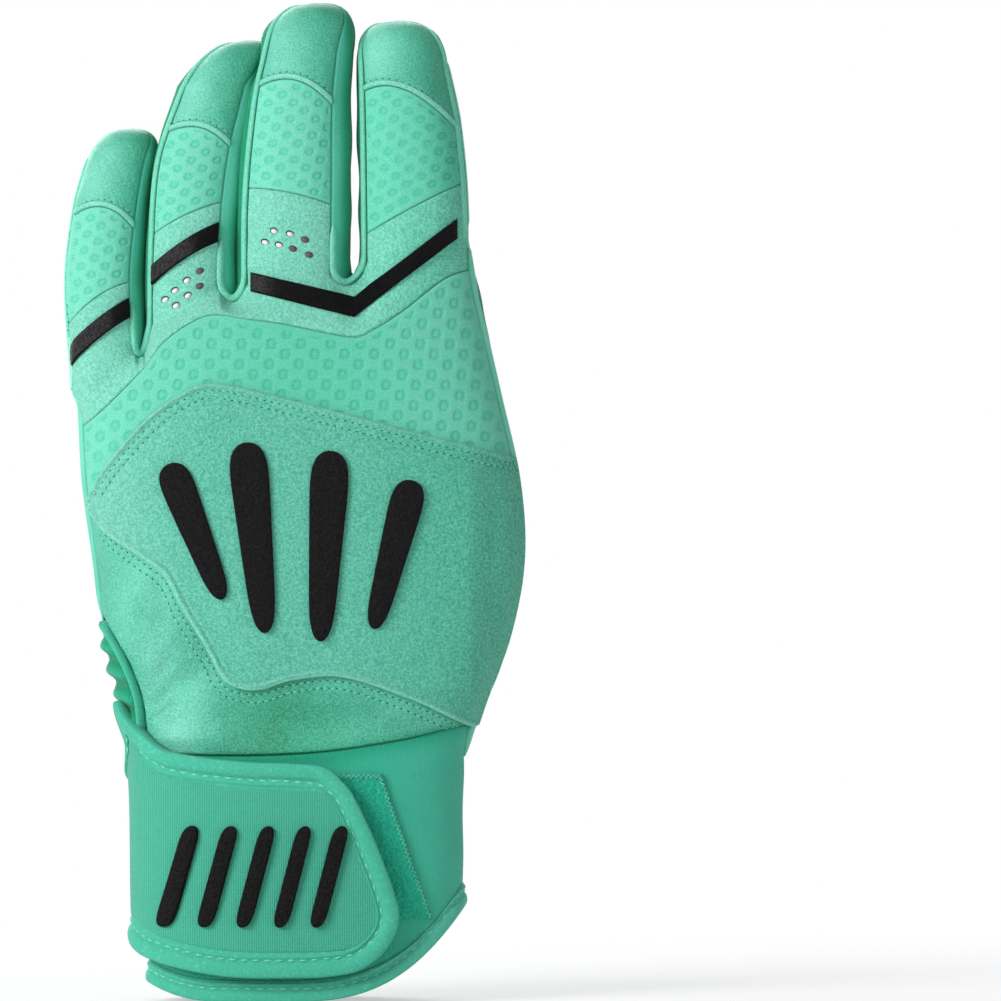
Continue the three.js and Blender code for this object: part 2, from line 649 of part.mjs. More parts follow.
// Palm side: finger fronts, the loft below them and the palm, sewn from one hide
function palmSheet() {
  const sheet = new Sheet();
  const line = (x) => seamHeight(PALM_LOFT_FOOT, x);
  const down = (tops) => {
    const lofts = tops.map((top) => knuckleColumn(1, top, line, BAND_STEPS));
    sheet.add(lofts);
    sheet.add(tops.map((top) => handColumn(1, seamShare(top),
      (x) => palmCuffSeam(x) + seamGap, line, PALM_ROWS, PALM_ROW_POWER)));
  };
  for (let i = FINGERS.length - 1; i >= 0; i -= 1) {
    const finger = FINGERS[i];
    const front = fingerPanel(finger, (share) => palmStart(i, share), (share) => palmEnd(i, share), FRONT_ROWS,
      (t) => baseHeight(finger, t), null, FRONT_DOME_SHARE);
    sheet.add(front);
    down(front.map((column) => column[0]));
    if (i === 0) continue;
    const arc = [];
    for (let s = 0; s <= CROTCH_STEPS; s += 1) {
      const inner = s > 0 && s < CROTCH_STEPS;
      arc.push(crotchPoint(i - 1, PALM_SEAM_THUMB + angleGap, PALM_SEAM_ULNAR - angleGap,
        1 - s / CROTCH_STEPS, inner ? CROTCH_DROP : 0));
    }
    down(arc);
  }
  return sheet;
}

['little_ring', 'ring_middle', 'middle_index'].forEach((name, i) => {
  addPiece(`fourchette_${name}`, fourchette(i).thicken(-SIDE_SHEET, 0), MINT_DARK);
});

// Point on the back or palm of the hand form at x and height
const handAt = (side, x, z) => new THREE.Vector3(x, handY(side, x, z), z);
const angleOf = (x, z) => {
  const t = handShare(x, z);
  return Math.asin(Math.sign(t) * Math.abs(t) ** (HAND_ROUNDNESS / 2)) / RAD;
};
const backEdge = OUTER_SEAM - angleGap;

// Back of the hand
// Mesh over the back of the hand: it follows the knuckle panels and reaches the crotch of the little finger
function handMesh() {
  const sheet = new Sheet();
  const low = (x) => shieldTop(x) + seamGap;
  const high = (x) => knuckleLine(x) - seamGap;
  const columns = [];
  FINGERS.forEach((finger, i) => {
    for (let k = 0; k <= FINGER_ACROSS; k += 1) {
      const angle = lerp(angleStart(i) + angleGap, angleEnd(i) - angleGap, k / FINGER_ACROSS);
      columns.push(fingerRound(finger, angle, fingerBase(finger, angle)));
    }
    if (i + 1 === FINGERS.length) return;
    const ends = i === 0 ? CROTCH_TONGUE : 1 / CROTCH_STEPS;
    const arc = [];
    for (let k = 0; k <= 2; k += 1) {
      const s = lerp(ends, 1 - ends, k / 2);
      arc.push(crotchPoint(i, angleEnd(i) - angleGap, angleStart(i + 1) + angleGap, s, CROTCH_DROP));
    }
    columns.push(...arc);
    if (i === 0) sheet.add(arc.map((top) => knuckleColumn(-1, top, high, BAND_STEPS)));
  });
  sheet.add(columns.map((top) => handColumn(-1, seamShare(top), low, high, BAND_STEPS)));
  return sheet;
}
addPiece('hand_mesh_panel', handMesh().thicken(-BACK_SHEET, 0), MINT_MESH);
addPiece('shield_panel', new Sheet().add(handBand(-backEdge, backEdge, ...SHIELD_GRID,
  (x) => shieldBottom(x) - SHIELD_LAP, (x) => shieldTop(x) + SHIELD_LAP))
  .thicken(OVERLAY, OVERLAY + SHIELD_SHEET), MINT_SUEDE);
addPiece('shield_foam', new Sheet().add(handBand(-FOAM_EDGE, FOAM_EDGE, ...FOAM_GRID,
  (x) => Math.max(...FOAM_REACH.map((dx) => shieldBottom(x + dx))) + SHIELD_LAP,
  (x) => shieldTop(x) - SHIELD_LAP)).thicken(-FOAM, 0), PALE_FOAM);
addPiece('back_lining', new Sheet().add(handBand(-LINING_EDGE, LINING_EDGE, ...LINING_GRID,
  () => LINING_FOOT, (x) => shieldTop(x) - SHIELD_LAP)).thicken(LINING_BASE - LINING, LINING_BASE), MINT_KNIT);

// Lower back panel, cut back along the vent at the ulnar side
const ventX = (z) => Math.max(along(VENT_EDGE, 1, z), along(HAND, 1, z));
addPiece('lower_back_panel', new Sheet().add(grid(...LOWER_GRID, (u, v) => {
  const angle = lerp(-backEdge, backEdge, u);
  const low = onSeam(angle, cuffTop) + seamGap;
  const z = lerp(low, onSeam(angle, shieldBottom) - seamGap, v);
  const share = (widthShare(angle, HAND_ROUNDNESS) + 1) / 2;
  const left = z < VENT_EDGE[VENT_EDGE.length - 1][0] ? ventX(z) : along(HAND, 1, z);
  return handAt(-1, lerp(left, along(HAND, 2, z), share), z);
})).thicken(-BACK_SHEET, 0), MINT_LEATHER);
addPiece('vent_binding', new Sheet().add(grid(2, 8, (u, v) => {
  const z = lerp(onSeam(-LINING_EDGE, cuffTop) + CLEARANCE, VENT_BINDING_TOP, v);
  return handAt(-1, ventX(z) - 2 * CLEARANCE - VENT_BINDING_WIDTH * (1 - u), z);
})).thicken(-BACK_SHEET, VENT_BULGE), MINT_LEATHER);
addPiece('wrist_elastic', new Sheet().add(grid(10, 3, (u, v) => handRound(
  lerp(ELASTIC_ANGLES[0], ELASTIC_ANGLES[1], u), lerp(ELASTIC_RANGE[0], ELASTIC_RANGE[1], v),
))).thicken(ELASTIC_BASE - ELASTIC, ELASTIC_BASE), MINT_DARK);

// Stripes over the knuckles
function stripe(finger, from, to) {
  return fingerPanel(finger, () => from + STRIPE_INSET, () => to - STRIPE_INSET, 1,
    (t) => crossSeam(finger.stripe, t) - STRIPE_WIDTH / 2, (t) => crossSeam(finger.stripe, t) + STRIPE_WIDTH / 2);
}
[0, 1].forEach((i) => {
  const sheet = new Sheet().add(stripe(FINGERS[i], angleStart(i), angleEnd(i)));
  addPiece(`${FINGERS[i].name}_stripe`, sheet.thicken(OVERLAY, OVERLAY + STRIPE_FILM), BLACK_RUBBER);
});

// Point of the knuckle panel at x and height: on a finger above its base, on the loft below
function knuckleAt(x, z) {
  let top;
  FINGERS.forEach((finger, i) => {
    const [first, last] = [angleStart(i), angleEnd(i)].map(
      (angle) => fingerRound(finger, angle, fingerBase(finger, angle)).x);
    const t = clamp((x - along(finger.stations, 1, z)) / along(finger.stations, 2, z), -1, 1);
    if (x >= first && x <= last) {
      const angle = Math.asin(Math.sign(t) * Math.abs(t) ** (FINGER_ROUNDNESS / 2)) / RAD;
      top = z >= fingerBase(finger, angle)
        ? fingerRound(finger, angle, z) : fingerRound(finger, angle, fingerBase(finger, angle));
    } else if (x > last && i + 1 < FINGERS.length) {
      const nextAngle = angleStart(i + 1);
      const next = fingerRound(FINGERS[i + 1], nextAngle, fingerBase(FINGERS[i + 1], nextAngle)).x;
      if (x < next) {
        top = crotchPoint(i, angleEnd(i), nextAngle, (x - last) / (next - last), CROTCH_DROP);
      }
    }
  });
  if (!top || z >= top.z) return top ?? handAt(-1, x, z);
  const column = knuckleColumn(-1, top, knuckleLine, KNUCKLE_STEPS);
  const place = clamp((z - column[0].z) / (top.z - column[0].z), 0, 1) * KNUCKLE_STEPS;
  const j = Math.min(KNUCKLE_STEPS - 1, Math.floor(place));
  return column[j].clone().lerp(column[j + 1], place - j);
}
addPiece('chevron_stripe', new Sheet().add(grid(CHEVRON_STEPS, 1, (u, v) => {
  const x = lerp(CHEVRON[0][0], CHEVRON[2][0], u);
  const [from, to] = x < CHEVRON[1][0] ? [CHEVRON[0], CHEVRON[1]] : [CHEVRON[1], CHEVRON[2]];
  const z = lerp(from[1], to[1], (x - from[0]) / (to[0] - from[0]));
  return knuckleAt(x, z + (v - 0.5) * STRIPE_WIDTH);
})).thicken(CHEVRON_BASE, CHEVRON_BASE + STRIPE_FILM), BLACK_RUBBER);

// Guard ribs over the back of the hand
GUARD_RIBS.forEach(([x0, z0, x1, z1, half], k) => {
  const length = Math.hypot(x1 - x0, z1 - z0);
  const [nx, nz] = [(z1 - z0) / length, -(x1 - x0) / length];
  const rib = grid(...GUARD_GRID, (u, v) => {
    const reach = clamp(v, 0, 1);
    const taper = lerp(RIB_ROOT_SHARE, 1, reach) * Math.sqrt(1 - (2 * reach - 1) ** 6 * RIB_END_ROUND);
    const across = (2 * u - 1) * half * taper;
    return handAt(-1, lerp(x0, x1, v) + nx * across, lerp(z0, z1, v) + nz * across);
  });
  addPiece(`guard_rib_${k + 1}`, new Sheet().add(rib).thicken(RIB_BASE, RIB_BASE + GUARD_RIB), BLACK_RUBBER);
});

// Cuff
function hem(x) {
  const { rise, startX, run, power } = HEM_ULNAR;
  if (x < startX) return rise * ((startX - x) / run) ** power;
  return x > HEM_START_X ? HEM_RISE * ((x - HEM_START_X) / HEM_RUN) ** HEM_POWER : 0;
}
const hemAt = (angle) => onSeam(angle, hem);
function cuffRim(angle) {
  const back = onSeam(angle, cuffTop);
  const palm = onSeam(angle, palmCuffSeam);
  const turn = Math.acos(Math.cos(angle * RAD)) / RAD;
  return lerp(back, palm, clamp((turn - CUFF_TURN[0]) / (CUFF_TURN[1] - CUFF_TURN[0]), 0, 1)) - seamGap;
}
addPiece('cuff_sleeve', new Sheet().add(grid(CUFF_SIDES, 4, (u, v) => {
  const angle = u * FULL_TURN - HALF_TURN;
  return handRound(angle, lerp(hemAt(angle) + HEM_WIDTH + CLEARANCE, cuffRim(angle), v));
})).thicken(-CUFF_KNIT, 0), MINT_KNIT);
addPiece('cuff_hem', new Sheet().add(grid(CUFF_SIDES, 1, (u, v) => {
  const angle = u * FULL_TURN - HALF_TURN;
  return handRound(angle, hemAt(angle) + HEM_WIDTH * v);
})).thicken(-CUFF_KNIT - HEM_BULGE, HEM_BULGE), MINT_KNIT);
addPiece('loop_patch', new Sheet().add(grid(8, 4, (u, v) => {
  const right = lerp(LOOP_PATCH.bottomRight, LOOP_PATCH.topRight, v);
  return handAt(-1, lerp(LOOP_PATCH.left, right, u), lerp(LOOP_PATCH.bottom, LOOP_PATCH.top, v));
})).thicken(OVERLAY, OVERLAY + LOOP_PILE), MINT_PILE);
addPiece('strap_anchor', new Sheet().add(grid(4, 5, (u, v) => {
  const angle = lerp(ANCHOR_ANGLE, STRAP_ROOT_ANGLE - angleGap, u);
  return handRound(angle, lerp(STRAP_BOTTOM[0][1], ANCHOR_TOP, v));
})).thicken(OVERLAY, (p) => lerp(STRAP_BASE + STRAP_SHEET, OVERLAY + STRAP_SHEET,
  clamp(p.y / ANCHOR_TAPER, 0, 1))), MINT_KNIT);

// Strap: it swings about its root at the ulnar side of the cuff
function strapAt(a, b) {
  const angle = lerp(STRAP_ROOT_ANGLE, along(STRAP_END, 1, b), a);
  return handRound(angle, lerp(along(STRAP_BOTTOM, 1, angle), along(STRAP_TOP, 1, angle), b));
}
const strapGap = [CLEARANCE / STRAP_BINDING_RUN[0], CLEARANCE / STRAP_BINDING_RUN[1]];
const [bindA, bindB] = STRAP_BINDING;
addPiece('strap_panel', new Sheet().add(grid(...STRAP_GRID, (u, v) => strapAt(
  lerp(0, 1 - bindA - strapGap[0], u), lerp(bindB + strapGap[1], 1 - bindB - strapGap[1], v),
))).thicken(STRAP_BASE, STRAP_BASE + STRAP_SHEET), MINT_KNIT);
// Rim of the strap: shares of its outer and inner edge, along the bottom, up the end and back along the top
function strapRim() {
  const path = [];
  const runTo = 1 - bindA;
  for (let k = 0; k <= RIM_STEPS; k += 1) {
    const a = runTo * k / RIM_STEPS;
    path.push([a, 0, a, bindB]);
  }
  path.push([1, 0, runTo, bindB]);
  for (let k = 0; k <= RIM_END_STEPS; k += 1) {
    const b = lerp(bindB, 1 - bindB, k / RIM_END_STEPS);
    path.push([1, b, runTo, b]);
  }
  path.push([1, 1, runTo, 1 - bindB]);
  for (let k = RIM_STEPS; k >= 0; k -= 1) {
    const a = runTo * k / RIM_STEPS;
    path.push([a, 1, a, 1 - bindB]);
  }
  const withNormal = (a, b) => grid(1, 1, (u, v) => strapAt(a + u * EPSILON, b + v * EPSILON))[0][0];
  return path.map(([a0, b0, a1, b1]) => [withNormal(a0, b0), withNormal(a1, b1)]);
}
addPiece('strap_binding', new Sheet().add(strapRim())
  .thicken(STRAP_BASE - STRAP_BINDING_BULGE, STRAP_BASE + STRAP_SHEET + STRAP_BINDING_BULGE), MINT_LEATHER);
addPiece('hook_patch', new Sheet().add(grid(10, 4, (u, v) => strapAt(
  lerp(HOOK_SHARES.from, HOOK_SHARES.to, u), lerp(HOOK_SHARES.bottom, HOOK_SHARES.top, v),
))).thicken(HOOK_BASE, HOOK_BASE + HOOK_TAPE), MINT_PILE);
STRAP_RIBS.forEach((foot, k) => {
  const rib = grid(2, 6, (u, v) => {
    const x = foot + STRAP_RIB.lean * v + (2 * u - 1) * STRAP_RIB.halfWidth;
    return handAt(-1, x, lerp(STRAP_RIB.bottom, STRAP_RIB.top, v));
  });
  addPiece(`strap_rib_${k + 1}`, new Sheet().add(rib).thicken(TRIM_BASE, TRIM_BASE + STRAP_TRIM), BLACK_RUBBER);
});

// Palm overlays
addPiece('palm_patch', new Sheet().add(grid(...PATCH_GRID, (u, v) => {
  const level = lerp(PALM_PATCH_EDGE[0][0], PALM_PATCH_EDGE.at(-1)[0], v);
  const inner = HALF_TURN - angleOf(along(PALM_PATCH_EDGE, 1, level), level);
  const angle = lerp(inner, HALF_TURN + OUTER_SEAM - angleGap, u);
  const x = handX(angle, level);
  return handRound(angle, lerp(seamHeight(PALM_PATCH_BOTTOM, x), seamHeight(PALM_PATCH_TOP, x), v));
})).thicken(PALM_OVERLAY, PALM_OVERLAY + PATCH_SHEET), MINT_LEATHER);
addPiece('wrist_tab', new Sheet().add(grid(4, 5, (u, v) => {
  const { tip, inner, outer, tipWidth } = WRIST_TAB;
  const foot = [lerp(outer[0], inner[0], u), lerp(outer[1], inner[1], u)];
  return handAt(1, lerp(foot[0], tip[0] + tipWidth * (0.5 - u), v), lerp(foot[1], tip[1], v));
})).thicken(PALM_OVERLAY, PALM_OVERLAY + PATCH_SHEET), MINT_SUEDE);

// Thumb: a tube that leaves the palm at the thumb side and lies in front of the index finger
const thumbPath = new THREE.CatmullRomCurve3(THUMB.map(([x, y, z]) => new THREE.Vector3(x, y, z)));
const thumbHalf = THUMB.map(([, , , half], i) => [i / (THUMB.length - 1), half]);
function thumbRound(angle, level) {
  const s = clamp(level, 0, 1);
  const centre = thumbPath.getPoint(s);
  const forward = thumbPath.getTangent(s);
  const turn = Math.max(0, level - 1) * TIP_TURN * RAD;
  centre.lerp(new THREE.Vector3(...THUMB_TIP), Math.sin(turn));
  const across = new THREE.Vector3(1, 0, 0).addScaledVector(forward, -forward.x).normalize();
  const outward = forward.clone().cross(across);
  const half = along(thumbHalf, 1, s) * lerp(level > 1 ? FINGER_TIP_WIDTH : 1, 1, Math.cos(turn));
  const depth = along(thumbHalf, 1, s) * THUMB_DEPTH_SHARE * Math.cos(turn);
  return centre.addScaledVector(across, half * Math.cos(angle * RAD))
    .addScaledVector(outward, depth * Math.sin(angle * RAD));
}
function insideHand(p) {
  if (Math.abs((p.x - handMiddle(p.z)) / handHalf(p.z)) >= 1 + CLEARANCE / handHalf(p.z)) return false;
  return Math.abs(p.y) < Math.abs(handY(Math.sign(p.y), p.x, p.z)) + OVERLAY + CLEARANCE;
}
// Lowest level of the thumb tube that lies outside the hand, at an angle round it
function thumbRoot(angle) {
  for (let k = ROOT_STEPS; k > 0; k -= 1) {
    const level = k / ROOT_STEPS;
    const outer = thumbRound(angle, level);
    const inner = outer.clone().lerp(thumbPath.getPoint(level), THUMB_SHEET / along(thumbHalf, 1, level));
    if (insideHand(outer) || insideHand(inner)) return (k + 1) / ROOT_STEPS;
  }
  return 0;
}
function thumbPanel(from, to, across, up, low, high) {
  return grid(across, up, (u, v) => {
    const angle = lerp(from + angleGap, to - angleGap, u);
    return thumbRound(angle, lerp(low(angle), high(angle), v));
  });
}
const [frontFrom, frontTo] = THUMB_FRONT;
const gussetTop = (angle) => Math.max(thumbRoot(angle) + GUSSET_LEAST, THUMB_GUSSET_LEVEL);
addPiece('thumb_front', new Sheet().add(thumbPanel(frontFrom, frontTo, THUMB_ACROSS, 12, thumbRoot, () => 2))
  .thicken(-THUMB_SHEET, 0), MINT_LEATHER);
addPiece('thumb_back', new Sheet().add(thumbPanel(frontTo, frontFrom + FULL_TURN, THUMB_BACK_ACROSS, 8,
  (angle) => gussetTop(angle) + THUMB_SEAM, () => 2)).thicken(-THUMB_SHEET, 0), MINT_SUEDE);
addPiece('thumb_gusset', new Sheet().add(thumbPanel(frontTo, frontFrom + FULL_TURN, THUMB_BACK_ACROSS, 5,
  thumbRoot, gussetTop)).thicken(-THUMB_SHEET, 0), MINT_MESH);

// The hide is open where the thumb leaves the palm
const plugShape = new THREE.Shape().absarc(0, 0, THUMB_HOLE, 0, 2 * Math.PI);
const plugPath = new THREE.CatmullRomCurve3(thumbPath.points.slice(0, 4));
const plug = new THREE.ExtrudeGeometry(plugShape, { steps: 16, curveSegments: 12, extrudePath: plugPath });
const palmHide = toSolid(palmSheet().thicken(-PALM_LEATHER, 0));
addPiece('palm_leather', fromSolid(palmHide.subtract(toSolid(plug))), MINT_LEATHER);

export default group;
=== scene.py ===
# Looks of a batting glove for the left hand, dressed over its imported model.
# Lengths are millimetres until a mesh is made.
# +Z runs to the fingertips, +X to the thumb and -Y out of the back.

import math

import bpy
import numpy as np
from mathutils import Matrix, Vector
from mathutils.bvhtree import BVHTree
from mathutils.kdtree import KDTree


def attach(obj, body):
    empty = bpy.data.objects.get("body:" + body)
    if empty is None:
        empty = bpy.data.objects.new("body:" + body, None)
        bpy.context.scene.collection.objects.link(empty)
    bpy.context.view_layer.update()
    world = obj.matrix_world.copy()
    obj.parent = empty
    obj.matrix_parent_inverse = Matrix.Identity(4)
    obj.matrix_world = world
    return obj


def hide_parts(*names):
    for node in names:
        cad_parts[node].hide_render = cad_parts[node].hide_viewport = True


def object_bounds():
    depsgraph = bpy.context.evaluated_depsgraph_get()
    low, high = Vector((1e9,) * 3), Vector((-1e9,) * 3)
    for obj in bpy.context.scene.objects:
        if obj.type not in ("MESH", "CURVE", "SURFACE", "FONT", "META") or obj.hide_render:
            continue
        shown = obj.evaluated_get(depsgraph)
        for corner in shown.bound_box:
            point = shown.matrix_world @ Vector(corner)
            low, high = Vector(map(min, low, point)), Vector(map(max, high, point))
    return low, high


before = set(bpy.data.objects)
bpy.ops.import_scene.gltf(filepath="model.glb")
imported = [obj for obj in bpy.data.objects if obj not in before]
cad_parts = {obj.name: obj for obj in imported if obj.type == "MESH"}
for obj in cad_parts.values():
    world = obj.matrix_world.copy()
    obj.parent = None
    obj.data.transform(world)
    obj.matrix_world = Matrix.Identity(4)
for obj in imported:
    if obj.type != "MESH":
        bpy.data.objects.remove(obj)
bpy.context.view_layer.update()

MM = 0.001
RAD = math.pi / 180

# Hand form: height, ulnar edge, thumb-side edge, depth of the back, depth of the palm
HAND = [
    [-4, -35.0, 39.3, 16.8, 16.8],
    [25, -35.7, 39.8, 16.8, 16.8],
    [52, -36.2, 40.0, 16.6, 16.6],
    [61, -37.6, 40.6, 16.4, 16.4],
    [70, -41.2, 43.6, 16.4, 16.0],
    [86, -45.6, 50.0, 16.8, 15.6],
    [105, -48.0, 53.6, 17.2, 15.2],
    [124, -50.6, 52.6, 16.8, 14.8],
    [144, -51.8, 48.2, 15.4, 13.8],
    [158, -53.8, 45.0, 13.8, 12.6],
    [172, -55.3, 41.8, 12.0, 11.4],
    [190, -53.4, 40.5, 10.6, 10.6],
]
HAND_ROUNDNESS = 2.5
FINGER_ROUNDNESS = 2.2
FINGER_DEPTH = 9.6
FINGER_TIP_WIDTH = 0.08
TIP_ROUNDNESS = 2.35

# Fingers: stations give height, centre x, half width and centre y
FINGERS = [
    dict(name="little", dome=200, tip=208.8, tip_x=-40.2, base=[146, 157],
         stations=[
             [148, -44.5, 9.2, 0.6], [172, -46.1, 9.2, 3.0], [190, -44.4, 9.0, 5.0], [201, -42.2, 8.4, 7.0],
         ],
         cap=[188.0, 189.2, 180.8], mesh=[162.0, 169.2, 172.3], stripe=[154.0, 161.8, 167.4]),
    dict(name="ring", dome=218.4, tip=230.0, tip_x=-11.8, base=[161, 172.4],
         stations=[
             [150, -25.8, 10.2, 0.5], [182, -25.3, 10.3, 1.0],
             [201, -23.6, 10.5, 3.0], [218, -19.0, 9.4, 6.0],
         ],
         cap=[207.4, 208.4, 200.6], mesh=[182.6, 188.4, 191.5], stripe=[171.8, 180.2, 185.0]),
    dict(name="middle", dome=227, tip=238.8, tip_x=5.0, base=[171.0, 174.0],
         stations=[
             [160, -0.5, 12.8, -1.0], [190, -0.3, 13.1, -1.0], [215, 0.8, 11.8, 0.5], [228, 2.6, 10.8, 2.0],
         ],
         cap=[217.8, 219.5, 209.4], mesh=[194.2, 192.7, 188.4]),
    dict(name="index", dome=223, tip=234.6, tip_x=24.4, base=[176, 182],
         stations=[
             [160, 28.0, 12.6, 0.0], [190, 27.8, 12.7, 0.0], [210, 26.8, 11.9, 1.0], [224, 25.2, 10.6, 2.5],
         ],
         cap=[216.9, 217.7, 207.8], mesh=[182.4, 189.4, 195.6]),
]
# Side seams of a finger as angles round it: 0 is the middle of the back, 90 the thumb side
BACK_ULNAR, BACK_THUMB, PALM_THUMB, PALM_ULNAR = -60, 40, 106, 220
TIP_THUMB, TIP_ULNAR = 73, -107
OUTER = 89.4
CROTCH_DIP = 3.0
CROTCH_DROP = 0.8

# Seams of the back, as x and height
KNUCKLE_SEAM = [
    [-60, 135.0], [-50.6, 137.8], [-37, 150.2], [-32.2, 156.5], [-25.9, 161.3], [-19.9, 163.7],
    [-10, 162.5], [-2.9, 161.5], [13, 158.4], [16.3, 158.9], [25, 164.2], [37.7, 173.5], [60, 178],
]
SHIELD_TOP = [
    [-60, 112.0], [-52, 116.4], [-49, 119.6], [-44.2, 127.0], [-33.8, 138.6], [-24.5, 144.6],
    [-19.9, 145.6], [-13.9, 144.8], [3.4, 140.6], [25, 134.9], [42, 130.6], [60, 126],
]
SHIELD_BOTTOM = [
    [-60, 111.8], [-52, 116.2], [-49, 117.6], [-44.9, 113.6], [-32.2, 104.9], [-29.8, 102.2],
    [-27.1, 96.5], [-21.1, 86.6], [-17, 79.0], [-13.9, 76.8], [-8.4, 76.3], [-1.4, 78.5], [10.8, 79.4],
    [27.8, 73.9], [43, 67.0], [60, 64],
]
CUFF_TOP = [[-60, 62], [-32, 59], [0.7, 59.2], [24.7, 62.4], [42.5, 66.2], [60, 67]]
PALM_CUFF_SEAM = [[-60, 60], [-46, 57.0], [0, 55.8], [36, 57.8], [60, 58]]
PALM_LOFT_FOOT = [[-60, 139], [-37, 146], [-14, 154], [14, 158], [60, 162]]
SHIELD_LAP = 1.6
SHIELD_START_X, SHIELD_START_Z = -49.2, 118.5
CHEVRON = [[-10.6, 171.6], [13.9, 165.4], [38.2, 184.4]]
STRIPE_WIDTH = 4.8

# Vent, cuff hem and strap
VENT_EDGE = [[58, -35.6], [66, -36.0], [73, -37.0], [81.5, -40.4], [89, -45.0], [95, -48.2]]
HEM_RISE, HEM_START_X, HEM_RUN, HEM_POWER, HEM_WIDTH = 23, -5, 45, 3.1, 4.6
HEM_ULNAR = dict(rise=6, start_x=-18, run=20, power=2.2)
STRAP_ROOT_ANGLE = -97
STRAP_TOP = [
    [-97, 56.0], [-90, 63.0], [-82, 70.2], [-76.7, 72.0], [-68.5, 66.8], [-50.2, 60.6], [-34.4, 58.6],
    [-15.2, 57.2], [1.6, 56.5], [9.9, 54.6],
]
STRAP_BOTTOM = [
    [-97, 14.5], [-87.8, 14.0], [-66.8, 10.7], [-25.8, 6.4], [0, 6.0], [12, 7.0], [20, 8.4], [30, 10],
]
STRAP_END = [
    [0, 32.5], [0.1, 32.0], [0.2, 31.3], [0.31, 29.3], [0.435, 26.4], [0.64, 20.9], [0.815, 15.6],
    [0.937, 11.6], [1, 9.9],
]
ANCHOR = dict(start=-128, bottom=14.5, top=55.5, corner_rise=5.3, corner_start=-110, corner_run=8)
LOOP_PATCH = dict(left=-8, top_right=20.5, bottom_right=32.4, top=54.4, bottom=19.6)

# Moulded trim: root x and height, tip x and height, half width
GUARD_RIBS = [
    [-17.0, 96.0, -29.5, 128.0, 3.6],
    [-7.0, 88.0, -11.5, 133.0, 4.2],
    [6.0, 86.0, 8.5, 131.0, 4.2],
    [18.5, 89.0, 27.5, 124.0, 3.6],
]
STRAP_RIBS = [-29, -20.5, -12, -3.5, 5]
STRAP_RIB = dict(half=1.9, bottom=18, top=42, lean=6)

# Palm patch, wrist tab and thumb
PALM_PATCH_TOP = [[-60, 137.4], [-34, 141.5], [-20.4, 144.7], [-10, 146]]
PALM_PATCH_EDGE = [
    [64, 3.0], [68, 7.0], [75.4, 10.1], [81.6, 6.2], [87.4, -1.9], [97.7, -11.3], [115.4, -14.9],
    [131.5, -15.9], [138, -16.4], [141, -17.4], [143, -19.4], [144, -22.4],
]
PALM_PATCH_BOTTOM = [[-60, 67.4], [-34.4, 65.4], [-22.8, 63.4], [-9.1, 64.6], [12, 67.5]]
WRIST_TAB = dict(tip=[42.6, 79], inner=[30.0, 60.2], outer=[39.6, 61.0], tip_width=1.2)
THUMB = [
    [36.0, 5.0, 106, 15.5],
    [36.4, 12.5, 130, 14.8],
    [34.2, 20.0, 150, 13.5],
    [31.6, 22.8, 168, 12.3],
    [29.4, 23.0, 186, 10.3],
]
THUMB_TIP = [28.0, 22.6, 199.4]
THUMB_DEPTH = 0.86
THUMB_FRONT = [22, 222]
THUMB_GUSSET = 0.5

# Heights of the layers over the hand form
OVERLAY = 0.3
SHIELD_BASE, SHIELD_THICK = 0.3, 1.2
STRAP_BASE, STRAP_THICK = 2.7, 1.6
SEAM_GAP = 0.03

# Heights of the inner and outer faces of a plain panel
SKIN = (-1.2, 0)

# Size of the cells in which points are welded, and pitch of the samples along a line
WELD = 0.002
SAMPLE_PITCH = 0.3


def lerp(a, b, t):
    return a + (b - a) * t


def smooth(t):
    t = np.clip(t, 0, 1)
    return t * t * (3 - 2 * t)


def hermite(p0, m0, p1, m1, t):
    t2 = t * t
    t3 = t2 * t
    return p0 * (2 * t3 - 3 * t2 + 1) + m0 * (t3 - 2 * t2 + t) + p1 * (3 * t2 - 2 * t3) + m1 * (t3 - t2)


def along(table, column, at):
    """Smooth value of one column of a station table at the values of its first column."""
    rows = np.asarray(table, float)
    keys, values = rows[:, 0], rows[:, column]
    at = np.clip(at, keys[0], keys[-1])
    i = np.clip(np.searchsorted(keys, at) - 1, 0, len(keys) - 2)
    k = np.arange(len(keys))
    before, after = np.maximum(k - 1, 0), np.minimum(k + 1, len(keys) - 1)
    slope = (values[after] - values[before]) / (keys[after] - keys[before])
    span = keys[i + 1] - keys[i]
    return hermite(values[i], slope[i] * span, values[i + 1], slope[i + 1] * span, (at - keys[i]) / span)


def cross_seam(seam, t):
    ulnar, middle, thumb = seam
    return middle + (thumb - ulnar) * t / 2 + ((thumb + ulnar) / 2 - middle) * t * t


def width_share(angle, n):
    s = np.sin(np.asarray(angle) * RAD)
    return np.sign(s) * np.abs(s) ** (2 / n)


def depth_share(t, n):
    return np.maximum(0, 1 - np.abs(t) ** n) ** (1 / n)


def points(x, y, z):
    return np.stack(np.broadcast_arrays(np.asarray(x, float), y, z), axis=-1)


def shares(n, crowd=0.55):
    """Shares from 0 to 1, closer together at both ends."""
    t = np.linspace(0, 1, n + 1)
    return t - crowd * np.sin(2 * math.pi * t) / (2 * math.pi)


def mesh_grid(across, up, crowd=0.55):
    return np.meshgrid(shares(across, crowd), shares(up, crowd), indexing="ij")


def unit(v):
    return v / np.maximum(np.linalg.norm(v, axis=-1, keepdims=True), 1e-9)


def facing(angle):
    """Side of a form at an angle round it: -1 on the back, 1 on the palm."""
    return np.where(np.cos(np.asarray(angle) * RAD) > 0, -1.0, 1.0)


# Hand form
def hand_middle(z):
    return (along(HAND, 1, z) + along(HAND, 2, z)) / 2


def hand_half(z):
    return (along(HAND, 2, z) - along(HAND, 1, z)) / 2


